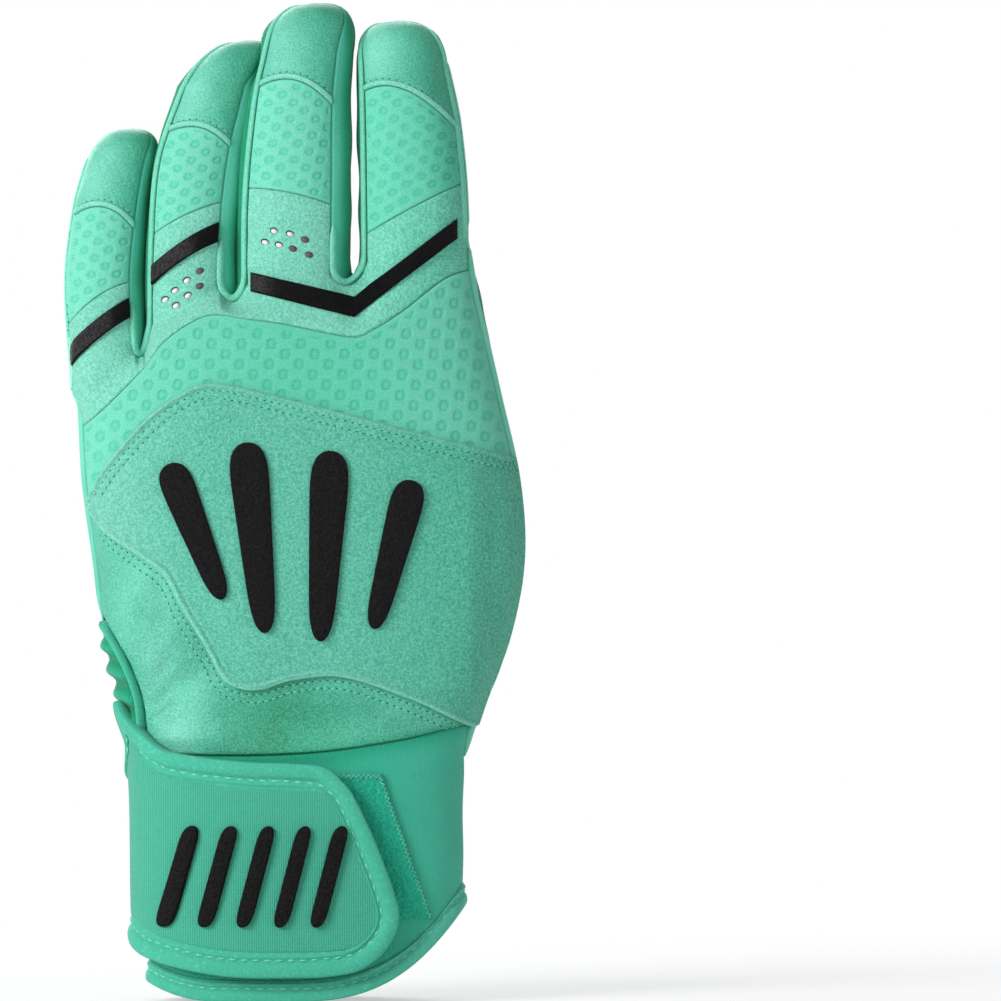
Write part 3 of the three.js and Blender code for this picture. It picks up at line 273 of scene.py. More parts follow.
def share_x(share, z):
    """Place at a share of the hand's half width, from -1 to 1."""
    return hand_middle(z) + hand_half(z) * share


def share_of(x, z):
    return (x - hand_middle(z)) / hand_half(z)


def hand_x(angle, z):
    return share_x(width_share(angle, HAND_ROUNDNESS), z)


def hand_y(side, x, z):
    depth = np.where(np.asarray(side) < 0, along(HAND, 3, z), along(HAND, 4, z))
    t = np.clip(share_of(x, z), -1, 1)
    return side * depth * depth_share(t, HAND_ROUNDNESS)


def hand_at(side, x, z):
    return points(x, hand_y(side, x, z), z)


def hand_round(angle, z):
    return hand_at(facing(angle), hand_x(angle, z), z)


def angle_of(x, z):
    t = np.clip(share_of(x, z), -1, 1)
    return np.arcsin(np.sign(t) * np.abs(t) ** (HAND_ROUNDNESS / 2)) / RAD


def settle(x_at, line, start):
    """Height at which a seam, a function of x, meets a line whose x depends on the height."""
    z = line(x_at(start))
    for _ in range(6):
        z = line(x_at(z))
    return z


def on_seam(angle, line):
    """Height of a seam at an angle round the hand."""
    return settle(lambda z: hand_x(angle, z), line, 120.0)


def on_share(share, line):
    """Height of a seam at a share of the hand's half width."""
    return settle(lambda z: share_x(share, z), line, 100.0)


def seam(table, shift=0.0):
    return lambda x: along(table, 1, x) + shift


# Fingers: a level above the dome's start counts as its share from 0 to 1
def finger_round(finger, angle, level):
    rows = finger["stations"]
    z = np.minimum(level, finger["dome"])
    x, half, y = along(rows, 1, z), along(rows, 2, z), along(rows, 3, z)
    turn = np.clip(level - finger["dome"], 0, 1) * math.pi / 2
    rise, shrink = np.sin(turn) ** (2 / TIP_ROUNDNESS), np.maximum(np.cos(turn), 0) ** (2 / TIP_ROUNDNESS)
    x = lerp(x, finger["tip_x"], rise)
    z = np.where(turn > 0, lerp(finger["dome"], finger["tip"], rise), z)
    half = half * lerp(FINGER_TIP_WIDTH, 1, shrink)
    t = width_share(angle, FINGER_ROUNDNESS)
    depth = FINGER_DEPTH * shrink * depth_share(t, FINGER_ROUNDNESS)
    return points(x + half * t, y + facing(angle) * depth, z)


def base_height(finger, t):
    return lerp(finger["base"][0], finger["base"][1], (np.clip(t, -1, 1) + 1) / 2)


def finger_base(finger, angle):
    return base_height(finger, width_share(angle, FINGER_ROUNDNESS))


def seam_angles(i, part, level):
    """Angles of both side seams of finger i at a level; the side strip runs out to a point at the tip."""
    run = smooth(np.clip(level - FINGERS[i]["dome"], 0, 1))
    if part == "back":
        start = np.full_like(run, -OUTER) if i == 0 else lerp(BACK_ULNAR, TIP_ULNAR, run)
        stop = np.full_like(run, OUTER) if i == 3 else lerp(BACK_THUMB, TIP_THUMB, run)
    else:
        start = np.full_like(run, 180 - OUTER) if i == 3 else lerp(PALM_THUMB, TIP_THUMB, run)
        stop = np.full_like(run, 180 + OUTER) if i == 0 else lerp(PALM_ULNAR, TIP_ULNAR + 360, run)
    return start, stop


ANGLE_GAP = SEAM_GAP / FINGER_DEPTH / RAD


def up_finger(finger, low, v, dome_share, top=1.0):
    """Levels from a base up a finger's shaft and then to a share of its dome, for v from 0 to 1."""
    shaft = 1 - dome_share
    on_dome = finger["dome"] + top * (v - shaft) / dome_share
    return np.where(v < shaft, lerp(low, finger["dome"], v / shaft), on_dome)


def finger_panel(i, part, across, up, low, high=None, dome_share=0.0, inset=0.0):
    """Panel of a finger between two seams, functions of t; without the upper seam it closes over the tip."""
    finger = FINGERS[i]
    u, v = mesh_grid(across, up)
    start, stop = seam_angles(i, part, np.zeros_like(u))
    angle = lerp(start + ANGLE_GAP + inset, stop - ANGLE_GAP - inset, u)
    t = width_share(angle, FINGER_ROUNDNESS)
    if high is not None:
        return finger_round(finger, angle, lerp(low(t), high(t), v))
    level = up_finger(finger, low(t), v, dome_share)
    start, stop = seam_angles(i, part, level)
    return finger_round(finger, lerp(start + ANGLE_GAP, stop - ANGLE_GAP, u), level)


def crotch_point(i, from_angle, to_angle, s, drop):
    left, right = FINGERS[i], FINGERS[i + 1]
    a = finger_round(left, from_angle, finger_base(left, from_angle))
    b = finger_round(right, to_angle, finger_base(right, to_angle))
    s = np.asarray(s, float)
    p = a + (b - a) * s[..., None]
    p[..., 2] -= CROTCH_DIP * np.sin(math.pi * s) + drop
    return p


OUTER_SHARE = float(width_share(OUTER, HAND_ROUNDNESS))


def seam_share(p):
    return np.clip(share_of(p[..., 0], p[..., 2]), -OUTER_SHARE, OUTER_SHARE)


def knuckle_loft(side, tops, line, steps):
    """Columns of skin that run from finger bases down to a seam of the hand form."""
    share = seam_share(tops)
    foot_z = on_share(share, line)
    foot, below = (hand_at(side, share_x(share, z), z) for z in (foot_z, foot_z - 1))
    slope = foot[:, 1] - below[:, 1]
    t = np.linspace(0, 1, steps + 1)[None, :]
    rise = (tops[:, 2] - foot_z)[:, None]
    x = lerp(foot[:, :1], tops[:, :1], t)
    y = hermite(foot[:, 1:2], slope[:, None] * rise, tops[:, 1:2], 0, t)
    return points(x, y, lerp(foot_z[:, None], tops[:, 2:3], t))


def hand_columns(side, share, low, high, steps):
    """Columns of skin between two seams of the hand form, at shares of its half width."""
    t = shares(steps, 0.3)[None, :]
    z = lerp(on_share(share, low)[:, None], on_share(share, high)[:, None], t)
    return hand_at(side, share_x(share[:, None], z), z)


def hand_band(start, stop, across, up, low, high):
    u, v = mesh_grid(across, up)
    angle = lerp(start, stop, u)
    return hand_round(angle, lerp(on_seam(angle, low), on_seam(angle, high), v))


def nearest(samples, p):
    """Distance of points from the nearest sample."""
    tree = KDTree(len(samples))
    for k, spot in enumerate(samples):
        tree.insert(spot, k)
    tree.balance()
    return np.array([tree.find(spot)[2] for spot in p])


class Sheet:
    """Open sheet of welded point grids, from which a closed panel with relief is made."""

    def __init__(self, *grids):
        raw, quads, start = [], [], 0
        for g in grids:
            nu, nv = g.shape[:2]
            index = start + np.arange(nu * nv).reshape(nu, nv)
            corners = [index[:-1, :-1], index[1:, :-1], index[1:, 1:], index[:-1, 1:]]
            quads.append(np.stack(corners, -1).reshape(-1, 4))
            raw.append(g.reshape(-1, 3))
            start += nu * nv
        raw, quads = np.concatenate(raw), np.concatenate(quads)
        cells = np.round(raw / WELD).astype(np.int64)
        _, first, where = np.unique(cells, axis=0, return_index=True, return_inverse=True)
        self.points = raw[first]
        self.quads = where.reshape(-1)[quads]
        self.measure()

    def measure(self):
        p, q = self.points, self.quads
        n = np.cross(p[q[:, 2]] - p[q[:, 0]], p[q[:, 3]] - p[q[:, 1]])
        total = np.zeros_like(p)
        for k in range(4):
            np.add.at(total, q[:, k], n)
        self.normals = unit(total)
        used = {}
        for a, b in np.concatenate([q[:, [0, 1]], q[:, [1, 2]], q[:, [2, 3]], q[:, [3, 0]]]).tolist():
            if a != b:
                used[(a, b)] = True
        self.rim = [(a, b) for a, b in used if (b, a) not in used]

    def loops(self):
        """Closed loops of rim points, in order."""
        after = dict(self.rim)
        result = []
        while after:
            start = next(iter(after))
            loop, here = [start], after.pop(start)
            while here != start and here in after:
                loop.append(here)
                here = after.pop(here)
            result.append(loop)
        return result

    def rim_distance(self):
        """Distance of each point from the sheet's rim, in millimetres."""
        samples = []
        for a, b in self.rim:
            pa, pb = self.points[a], self.points[b]
            count = max(1, int(np.linalg.norm(pb - pa) / SAMPLE_PITCH))
            samples += [lerp(pa, pb, k / count) for k in range(count)]
        return nearest(samples, self.points)

    def smooth(self, rounds):
        """Evens out the sheet; its rim stays where it is."""
        q = self.quads
        fixed = np.unique(np.array(self.rim).reshape(-1))
        for _ in range(rounds):
            total = np.zeros_like(self.points)
            count = np.zeros((len(self.points), 1))
            for a, b in ((0, 1), (1, 2), (2, 3), (3, 0)):
                np.add.at(total, q[:, a], self.points[q[:, b]])
                np.add.at(total, q[:, b], self.points[q[:, a]])
                np.add.at(count, q[:, a], 1)
                np.add.at(count, q[:, b], 1)
            moved = lerp(self.points, total / np.maximum(count, 1), 0.5)
            moved[fixed] = self.points[fixed]
            self.points = moved
        self.measure()
        return self

    def surface(self, reach):
        return self.points + self.normals * (np.broadcast_to(reach, len(self.points))[:, None])


def make_object(name, vertices, faces, material, body, nodes=(), uv=None, tone=None):
    mesh = bpy.data.meshes.new(name)
    mesh.from_pydata((np.asarray(vertices) * MM).tolist(), [], faces)
    mesh.polygons.foreach_set("use_smooth", [True] * len(mesh.polygons))
    if uv is not None:
        layer = mesh.uv_layers.new(name="UVMap")
        loops = np.empty(len(mesh.loops), np.int32)
        mesh.loops.foreach_get("vertex_index", loops)
        layer.data.foreach_set("uv", np.asarray(uv)[loops].reshape(-1))
    if tone is not None:
        mesh.attributes.new("tone", "FLOAT", "POINT").data.foreach_set("value", np.asarray(tone, np.float32))
    mesh.materials.append(material)
    mesh.update()
    piece = bpy.data.objects.new(name, mesh)
    bpy.context.collection.objects.link(piece)
    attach(piece, body)
    if nodes:
        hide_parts(*nodes)
    return piece


def panel(name, sheet, inner, outer, relief, material, slot, nodes=(), body="glove", round_edge=0.5, uv=None,
          tone=None):
    """Closed panel between two heights over a sheet; relief is added to its outer face, whose rim is rounded.

    Tone makes its colour deeper where it is below 0 and lighter above; on most panels it carries painted
    shade and painted highlights.
    """
    d = sheet.rim_distance()
    edge = np.clip(1 - d / round_edge, 0, 1)
    drop = round_edge * (1 - np.sqrt(1 - edge ** 2)) * 0.9
    top = sheet.surface(np.broadcast_to(outer, len(sheet.points)) + relief(sheet.points, d) - drop)
    bottom = sheet.surface(np.broadcast_to(inner, len(sheet.points)))
    n, q = len(top), sheet.quads
    faces = q.tolist() + (q[:, ::-1] + n).tolist() + [[b, a, a + n, b + n] for a, b in sheet.rim]
    faces = [list(dict.fromkeys(f)) for f in faces]
    faces = [f for f in faces if len(f) > 2]
    sheet.tree = BVHTree.FromPolygons(top.tolist(), [f for f in faces if max(f) < n])
    pair = None
    if uv is not None:
        coords = uv(sheet.points)
        pair = np.concatenate([coords, coords])
    shade = None
    if tone is not None:
        values = np.broadcast_to(tone(sheet.points, d), n)
        shade = np.concatenate([values, values])
    return make_object(name, np.concatenate([top, bottom]), faces, material, body, nodes, pair, shade)


def run_along(path):
    """Run from a line's start to each of its points."""
    return np.concatenate([[0], np.cumsum(np.linalg.norm(np.diff(path, axis=0), axis=1))])


def values_at(at, run, rows):
    """Values of the columns of rows at places along a run."""
    return np.stack([np.interp(at, run, column) for column in rows.T], axis=-1)


def resample(path, pitch):
    path = np.asarray(path, float)
    run = run_along(path[:, :3])
    count = max(2, int(round(run[-1] / pitch)))
    return values_at(np.linspace(0, run[-1], count + 1), run, path)


def ease(path, rounds):
    """Smooths a line in place; its ends stay."""
    for _ in range(rounds):
        path[1:-1] = (path[:-2] + 2 * path[1:-1] + path[2:]) / 4


def tangents(path):
    return unit(np.gradient(path, axis=0))


def distance_to(path, p):
    """Distance of points from a line."""
    return nearest(resample(path, SAMPLE_PITCH), p)


def laid_on(tree, path, lift=0.0):
    """Line pressed onto a surface, with the surface's normals."""
    spots, normals = [], []
    for p in path:
        hit, normal, _, _ = tree.find_nearest(Vector(p))
        spots.append(np.array(hit) + np.array(normal) * lift)
        normals.append(np.array(normal))
    return np.array(spots), np.array(normals)


def rim_paths(sheet, inset, keep=None, pitch=0.5):
    """Lines on a panel's outer face that run beside its rim, at a distance from it."""
    found = []
    for loop in sheet.loops():
        closed = loop + [loop[0]]
        ring = resample(np.concatenate([sheet.points[closed], sheet.normals[closed]], axis=1), pitch)
        ease(ring, 2)
        run = []
        for p, along_rim, up in zip(ring[:, :3], tangents(ring[:, :3]), ring[:, 3:]):
            inward = np.cross(up, along_rim) * inset
            near = [sheet.tree.find_nearest(Vector(p + up + side * inward)) for side in (1, -1)]

            def falls_back(hit):
                """True on the side where the panel ends: the nearest spot is back at its rim."""
                return np.linalg.norm(np.array(hit[0]) - p - up) < inset * 0.7

            spot, normal, _, _ = min(near, key=falls_back)
            if keep is None or keep(p):
                run.append((np.array(spot), np.array(normal)))
            elif run:
                found.append(run)
                run = []
        if run:
            found.append(run)
    return [(np.array([a for a, _ in r]), np.array([b for _, b in r])) for r in found if len(r) > 4]


def tube_faces(start, rings, sides):
    """Faces of a closed tube whose rings of points follow each other from a start."""
    faces = []
    for k in range(rings - 1):
        for s in range(sides):
            a, c = start + k * sides + s, start + k * sides + (s + 1) % sides
            faces.append([a, c, c + sides, a + sides])
    faces.append([start + s for s in reversed(range(sides))])
    faces.append([start + (rings - 1) * sides + s for s in range(sides)])
    return faces


def sew(name, lines, material, slot, body="glove", pitch=2.3, length=1.7, radius=0.24, lift=0.05):
    """Row of thread stitches along lines of points and normals."""
    vertices, faces = [], []
    rings, sides = 5, 6
    for path, normals in lines:
        run = run_along(path)
        for centre in np.arange(pitch / 2, run[-1] - pitch / 4, pitch):
            at = centre + np.linspace(-0.5, 0.5, rings) * length
            p, n = values_at(at, run, path), values_at(at, run, normals)
            n /= np.linalg.norm(n, axis=1, keepdims=True)
            b = np.cross(tangents(p), n)
            arch = 1 - np.linspace(-1, 1, rings) ** 2
            start = len(vertices)
            for k in range(rings):
                r = radius * (0.45 + 0.55 * arch[k])
                mid = p[k] + n[k] * (lift - radius * 0.8 * (1 - arch[k]))
                for s in range(sides):
                    turn = 2 * math.pi * s / sides
                    vertices.append(mid + (b[k] * math.cos(turn) + n[k] * math.sin(turn)) * r)
            faces += tube_faces(start, rings, sides)
    return make_object(name, vertices, faces, material, body)


PIT_STRETCH = 1.7


def pits(name, lines, material, body="glove", pitch=2.3, radius=0.3, lift=0.03):
    """Row of needle holes: flat spots of painted shade along lines of points and normals."""
    vertices, faces = [], []
    sides = 8
    for path, normals in lines:
        run = run_along(path)
        for at in np.arange(0.1, run[-1], pitch):
            p, n = values_at(at, run, path), values_at(at, run, normals)
            n /= np.linalg.norm(n)
            ahead = values_at(at + 0.2, run, path) - p
            t = ahead - n * (ahead @ n)
            t /= max(np.linalg.norm(t), 1e-9)
            b = np.cross(t, n)
            start = len(vertices)
            for level, share in ((-0.25, 0.9), (lift, 1.0)):
                for s in range(sides):
                    turn = 2 * math.pi * s / sides
                    spoke = t * math.cos(turn) * PIT_STRETCH + b * math.sin(turn)
                    vertices.append(p + spoke * radius * share + n * level)
            faces += tube_faces(start, 2, sides)
    return make_object(name, vertices, faces, material, body)


def stitch_rows(name, lines, material, slot, body="glove", pitch=2.3, length=1.5, radius=0.2):
    """Thread stitches with a needle hole between each two."""
    sew(f"{name}_thread", lines, material, slot, body, pitch, length, radius)
    pits(f"{name}_needle_holes", lines, NEEDLE_HOLE_SHADE, body, pitch, radius * 1.15)


def welt(name, lines, radius, material, slot, body="glove", sides=10, flat=0.75, ends=3.0):
    """Rolled seam edge: a soft tube along lines of points and normals, tapered at both ends."""
    vertices, faces = [], []
    for path, normals in lines:
        t = tangents(path)
        b = unit(np.cross(t, normals))
        n = np.cross(b, t)
        run = run_along(path)
        size = radius * np.sqrt(np.clip(np.minimum(run, run[-1] - run) / ends, 0.02, 1))
        start, rings = len(vertices), len(path)
        for k in range(rings):
            for s in range(sides):
                turn = 2 * math.pi * s / sides
                vertices.append(path[k] + (b[k] * math.cos(turn) + n[k] * math.sin(turn) * flat) * size[k])
        faces += tube_faces(start, rings, sides)
    return make_object(name, vertices, faces, material, body)


# Materials
def srgb(r, g, b):
    def channel(v):
        v /= 255
        return v / 12.92 if v <= 0.04045 else ((v + 0.055) / 1.055) ** 2.4
    return (channel(r), channel(g), channel(b), 1.0)


TONE_RANGE = 0.8


class Finish:
    """Procedural material: nodes are added by name and linked by socket."""

    def __init__(self, name, roughness, sheen=0.0, specular=0.5):
        self.material = bpy.data.materials.new(name)
        self.material.use_nodes = True
        self.tree = self.material.node_tree
        self.shader = self.tree.nodes["Principled BSDF"]
        values = {"Roughness": roughness, "Specular IOR Level": specular, "Sheen Weight": sheen,
                  "Sheen Roughness": 0.5}
        for key, value in values.items():
            self.shader.inputs[key].default_value = value
        self.place = self.add("ShaderNodeTexCoord")

    def add(self, kind, links=None, **values):
        node = self.tree.nodes.new(kind)
        for key, value in values.items():
            if hasattr(node, key):
                setattr(node, key, value)
            else:
                node.inputs[key.replace("_", " ")].default_value = value
        for key, source in (links or {}).items():
            self.tree.links.new(source, node.inputs[key])
        return node

    def noise(self, scale, detail=3.0, rough=0.55):
        place = {"Vector": self.place.outputs["Object"]}
        node = self.add("ShaderNodeTexNoise", place, Scale=scale, Detail=detail, Roughness=rough)
        return node.outputs["Fac"]

    def cells(self, scale, feature="DISTANCE_TO_EDGE"):
        place = {"Vector": self.place.outputs["Object"]}
        node = self.add("ShaderNodeTexVoronoi", place, feature=feature, Scale=scale)
        return node.outputs["Distance"]

    def math(self, operation, a, b):
        node = self.add("ShaderNodeMath", operation=operation)
        for k, value in enumerate((a, b)):
            if isinstance(value, (int, float)):
                node.inputs[k].default_value = value
            else:
                self.tree.links.new(value, node.inputs[k])
        return node.outputs[0]

    def blend(self, a, share_a, b, share_b):
        """Sum of two values, each times its share."""
        return self.math("ADD", self.math("MULTIPLY", a, share_a), self.math("MULTIPLY", b, share_b))

    def waves(self, pitch, axis):
        """Ridges across one axis of the unrolled cloth, a pitch in metres apart."""
        split = self.add("ShaderNodeSeparateXYZ", {"Vector": self.place.outputs["UV"]})
        turn = self.math("MULTIPLY", split.outputs[axis], 2 * math.pi / pitch)
        return self.math("SINE", turn, 0.0)

    def remap(self, value, low, high, to_low, to_high):
        node = self.add("ShaderNodeMapRange", {"Value": value})
        for key, number in (("From Min", low), ("From Max", high), ("To Min", to_low), ("To Max", to_high)):
            node.inputs[key].default_value = number
        return node.outputs["Result"]

    def colour(self, factor, *stops):
        """Colour from a ramp over a factor; stops are place and colour."""
        node = self.add("ShaderNodeValToRGB", {"Fac": factor})
        ramp = node.color_ramp
        while len(ramp.elements) < len(stops):
            ramp.elements.new(0.5)
        for element, (at, tint) in zip(ramp.elements, stops):
            element.position = at
            element.color = tint
        # The tone attribute deepens or lightens the colour: painted shade and painted highlights.
        tone = self.add("ShaderNodeAttribute", attribute_name="tone")
        power = self.remap(tone.outputs["Fac"], -1, 1, 1 + TONE_RANGE, 1 - TONE_RANGE)
        deepen = self.add("ShaderNodeGamma", {"Color": node.outputs["Color"], "Gamma": power})
        self.tree.links.new(deepen.outputs["Color"], self.shader.inputs["Base Color"])

    def bump(self, *layers):
        """Layers of height, strength and depth in metres, the last one on top."""
        normal = None
        for height, strength, depth in layers:
            node = self.add("ShaderNodeBump", {"Height": height}, Strength=strength, Distance=depth)
            if normal is not None:
                self.tree.links.new(normal, node.inputs["Normal"])
            normal = node.outputs["Normal"]
        self.tree.links.new(normal, self.shader.inputs["Normal"])

    def rough(self, value, low, high):
        self.tree.links.new(self.remap(value, 0.3, 0.7, low, high), self.shader.inputs["Roughness"])


def leather(name, dark, light, roughness=0.5, pebbling=0.65):
    """Hide with a pebbled grain. Low pebbling leaves it smooth, with soft wrinkles."""
    f = Finish(name, roughness)
    broad = f.noise(55, 2)
    grain = f.cells(2300)
    pebble = f.noise(2400, 2, 0.5)
    f.colour(f.blend(broad, 1 - pebbling, pebble, pebbling), (0.36, dark), (0.64, light))
    wrinkles = f.noise(lerp(160, 560, pebbling), 2)
    f.bump((wrinkles, 0.25, 0.0005), (grain, 0.75 * pebbling, 0.0003), (pebble, 1.25 * pebbling, 0.0003))
    f.rough(pebble, roughness - 0.06, roughness + 0.1)
    return f.material


def suede(name, dark, light):
    f = Finish(name, 0.95, sheen=0.2, specular=0.2)
    nap = f.noise(1500, 4, 0.7)
    speck = f.noise(3400, 2, 0.6)
    f.colour(f.blend(nap, 0.6, speck, 0.4), (0.41, dark), (0.59, light))
    f.bump((f.noise(700, 3), 0.3, 0.0005), (nap, 1.0, 0.0006), (speck, 0.7, 0.0002))
    return f.material


def mesh_cloth(name, dark, light):
    f = Finish(name, 0.8, sheen=0.12, specular=0.3)
    weave = f.math("MULTIPLY", f.waves(0.00062, "X"), f.waves(0.0005, "Y"))
    fine = f.noise(2600, 3)
    shade = f.math("ADD", f.remap(weave, -1, 1, 0, 0.35), f.math("MULTIPLY", fine, 0.65))
    f.colour(shade, (0.3, dark), (0.7, light))
    f.bump((weave, 0.28, 0.00012), (fine, 0.25, 0.00014))
    return f.material


def knit_cloth(name, dark, light, wale, course):
    """Fine knit: columns of loops that lean to both sides; wale and course are pitches in metres."""
    f = Finish(name, 0.9, sheen=0.15, specular=0.25)
    split = f.add("ShaderNodeSeparateXYZ", {"Vector": f.place.outputs["UV"]})
    column = f.math("DIVIDE", split.outputs["X"], wale)
    lean = f.math("PINGPONG", column, 0.5)
    row = f.math("ADD", f.math("DIVIDE", split.outputs["Y"], course), f.math("MULTIPLY", lean, 1.1))
    loop = f.math("SINE", f.math("MULTIPLY", row, 2 * math.pi), 0.0)
    rib = f.math("SINE", f.math("MULTIPLY", column, 2 * math.pi), 0.0)
    height = f.blend(loop, 0.5, rib, 0.5)
    fine = f.noise(2400, 3)
    shade = f.math("ADD", f.remap(height, -1, 1, 0.1, 0.6), f.math("MULTIPLY", fine, 0.35))
    f.colour(shade, (0.25, dark), (0.8, light))
    f.bump((height, 0.55, 0.00016), (fine, 0.3, 0.00012))
    return f.material


def twill(name, dark, light):
    f = Finish(name, 0.85, sheen=0.12, specular=0.3)
    ridge = f.math("SINE", f.math("MULTIPLY", f.noise(900, 1), 9.0), 0.0)
    fine = f.noise(3000, 3)
    shade = f.math("ADD", f.remap(ridge, -1, 1, 0.1, 0.4), f.math("MULTIPLY", fine, 0.5))
    f.colour(shade, (0.25, dark), (0.75, light))
    f.bump((ridge, 0.2, 0.00012), (fine, 0.3, 0.0001))
    return f.material


def pile(name, dark, light):
    f = Finish(name, 1.0, sheen=0.15, specular=0.1)
    loops = f.cells(1500, "F1")
    fine = f.noise(3500, 4, 0.7)
    f.colour(f.blend(loops, 0.6, fine, 0.55), (0.2, dark), (0.75, light))
    f.bump((loops, 0.9, 0.0005), (fine, 0.7, 0.0003))
    return f.material


def rubber(name, dark, light):
    f = Finish(name, 0.5, specular=0.1)
    grain = f.cells(1500)
    pebble = f.noise(1500, 3, 0.6)
    f.colour(pebble, (0.42, dark), (0.6, light))
    f.bump((pebble, 1.0, 0.0008), (grain, 0.6, 0.0004))
    f.rough(pebble, 0.4, 0.62)
    return f.material


TIP_LEATHER = leather("tip_leather", srgb(64, 165, 139), srgb(108, 205, 178), 0.5)
ROLL_LEATHER = leather("roll_leather", srgb(88, 188, 161), srgb(126, 219, 193), 0.55)
BACK_LEATHER = leather("back_leather", srgb(51, 155, 128), srgb(104, 205, 177), 0.48)
PALM_LEATHER = leather("palm_leather", srgb(88, 194, 166), srgb(114, 213, 187), 0.42, 0.25)
CUT_EDGE = leather("cut_edge", srgb(132, 224, 199), srgb(166, 243, 220), 0.6)
SUEDE = suede("suede", srgb(96, 194, 167), srgb(142, 233, 208))
SHIELD_SUEDE = suede("shield_suede", srgb(74, 176, 149), srgb(122, 217, 191))
# Lighter suede as a painted highlight on the shield's lip
SHIELD_LIP_HIGHLIGHT_SUEDE = suede("shield_lip_suede_painted_highlight", srgb(104, 204, 177), srgb(144, 234, 209))
DARK_SUEDE = suede("dark_suede", srgb(30, 132, 104), srgb(74, 178, 149))
MESH = mesh_cloth("mesh", srgb(92, 190, 164), srgb(128, 220, 195))
HAND_MESH = mesh_cloth("hand_mesh", srgb(90, 190, 163), srgb(124, 217, 192))
SIDE = mesh_cloth("side_cloth", srgb(54, 170, 140), srgb(78, 192, 163))
KNIT = knit_cloth("knit", srgb(40, 166, 136), srgb(68, 194, 163), 0.00046, 0.0004)
STRAP_KNIT = knit_cloth("strap_knit", srgb(38, 148, 120), srgb(90, 196, 168), 0.00052, 0.00044)
BINDING = twill("binding", srgb(60, 170, 142), srgb(86, 196, 168))
PILE = pile("loop_pile", srgb(26, 160, 130), srgb(46, 190, 158))
HOOKS = pile("hook_tape", srgb(42, 130, 106), srgb(70, 168, 140))
RUBBER = rubber("black_rubber", srgb(14, 13, 14), srgb(34, 33, 34))
THREAD = twill("thread", srgb(104, 204, 176), srgb(140, 226, 200))
# Painted shade in the needle holes
NEEDLE_HOLE_SHADE = twill("needle_hole", srgb(16, 112, 86), srgb(34, 132, 106))
LINING = mesh_cloth("lining", srgb(220, 206, 208), srgb(248, 240, 241))
# Lining painted in shade, for the perforations on the shaded side
SHADED_LINING = mesh_cloth("lining_painted_shade", srgb(92, 66, 72), srgb(120, 92, 98))
# Painted shade at the perforations' cut edges
SHADE = twill("hole_edge_painted_shade", srgb(22, 84, 68), srgb(40, 104, 86))


def ripple(p, size, seed, count=9):
    """Smooth even waviness between about -1 and 1, of a size in millimetres."""
    r = np.random.default_rng(seed)
    k = r.normal(size=(count, 3))
    k *= (2 * math.pi / size) * r.uniform(0.6, 1.5, (count, 1)) / np.linalg.norm(k, axis=1, keepdims=True)
    return np.sin(p @ k.T + r.uniform(0, 2 * math.pi, count)).mean(axis=1) * 1.7


def hump(p, x, z, half_x, half_z, lean=0.0):
    """Soft round bump of height 1 over x and z."""
    dz = p[:, 2] - z
    dx = p[:, 0] - x - lean * dz
    return np.exp(-(dx / half_x) ** 2 - (dz / half_z) ** 2)


def crease(p, start, stop, width):
    """Soft ridge of height 1 along a line over x and z, faded at both ends."""
    a, run = np.array(start, float), np.array(stop, float) - np.array(start, float)
    length = np.hypot(*run)
    flat = p[:, [0, 2]] - a
    t = (flat @ run) / length ** 2
    off = (flat[:, 0] * run[1] - flat[:, 1] * run[0]) / length
    return smooth(t / 0.3) * smooth((1 - t) / 0.3) * np.exp(-(off / width) ** 2)


def no_relief(p, d):
    """Relief of a face with no detail."""
    return 0 * d


def sink(d, depth, width):
    return -depth * np.exp(-(d / width))


def groove(d, at, depth, width=0.45):
    return -depth * np.exp(-((d - at) / width) ** 2)


def dimples(p, pitch, half, lean=0.0):
    """Staggered oval dimples of depth 1 over x and z: a pressed ring round a floor that rises a little."""
    row = np.round(p[:, 2] / pitch[1])
    x = p[:, 0] - lean * p[:, 2] + np.mod(row, 2) * pitch[0] / 2
    dx = x - np.round(x / pitch[0]) * pitch[0]
    dz = p[:, 2] - row * pitch[1]
    r = np.sqrt((dx / half[0]) ** 2 + (dz / half[1]) ** 2)
    ring = np.exp(-((r - 0.8) / 0.26) ** 2)
    floor = smooth((1.05 - r) / 0.5)
    return -(0.7 * ring + 0.3 * floor)


def flat_uv(p):
    return np.stack([p[:, 0] + 0.6 * p[:, 1], p[:, 2]], axis=1) * MM


ROUND_LEVEL = 40.0
ROUND_MIDDLE = float(hand_middle(ROUND_LEVEL))
ROUND_TABLE = hand_round(np.linspace(-90, 90, 361), ROUND_LEVEL)


def round_turn(p):
    """Turn round the cuff from its outer side, over the back or over the palm."""
    return np.abs(np.arctan2(p[:, 1], ROUND_MIDDLE - p[:, 0]))


ROUND_TURN = np.maximum.accumulate(round_turn(ROUND_TABLE))
ROUND_RUN = run_along(ROUND_TABLE)


def round_uv(p):
    """Run round the cuff from its outer side, and height, in metres."""
    return np.stack([np.interp(round_turn(p), ROUND_TURN, ROUND_RUN), p[:, 2]], axis=1) * MM


# Backs of the fingers: the cap's lower edge is a folded band, sewn along its upper side
FOLD_WIDTH, FOLD_RISE = 1.3, 0.45
FOLD_ROW = FOLD_WIDTH + 0.35
LEATHER_THREAD = dict(pitch=1.7, length=1.15, radius=0.14)


def cap_line(finger, shift, steps=60):
    angle = np.linspace(-88, 88, steps)
    t = width_share(angle, FINGER_ROUNDNESS)
    return finger_round(finger, angle, cross_seam(finger["cap"], t) + shift)


FINGER_DIMPLES = dict(pitch=(6.2, 1.95), half=(1.15, 0.95), lean=0.2)


def finger_side(finger, p):
    """Place across a finger, from -1 at its ulnar side to 1 at its thumb side."""
    rows = finger["stations"]
    return (p[:, 0] - along(rows, 1, p[:, 2])) / along(rows, 2, p[:, 2])


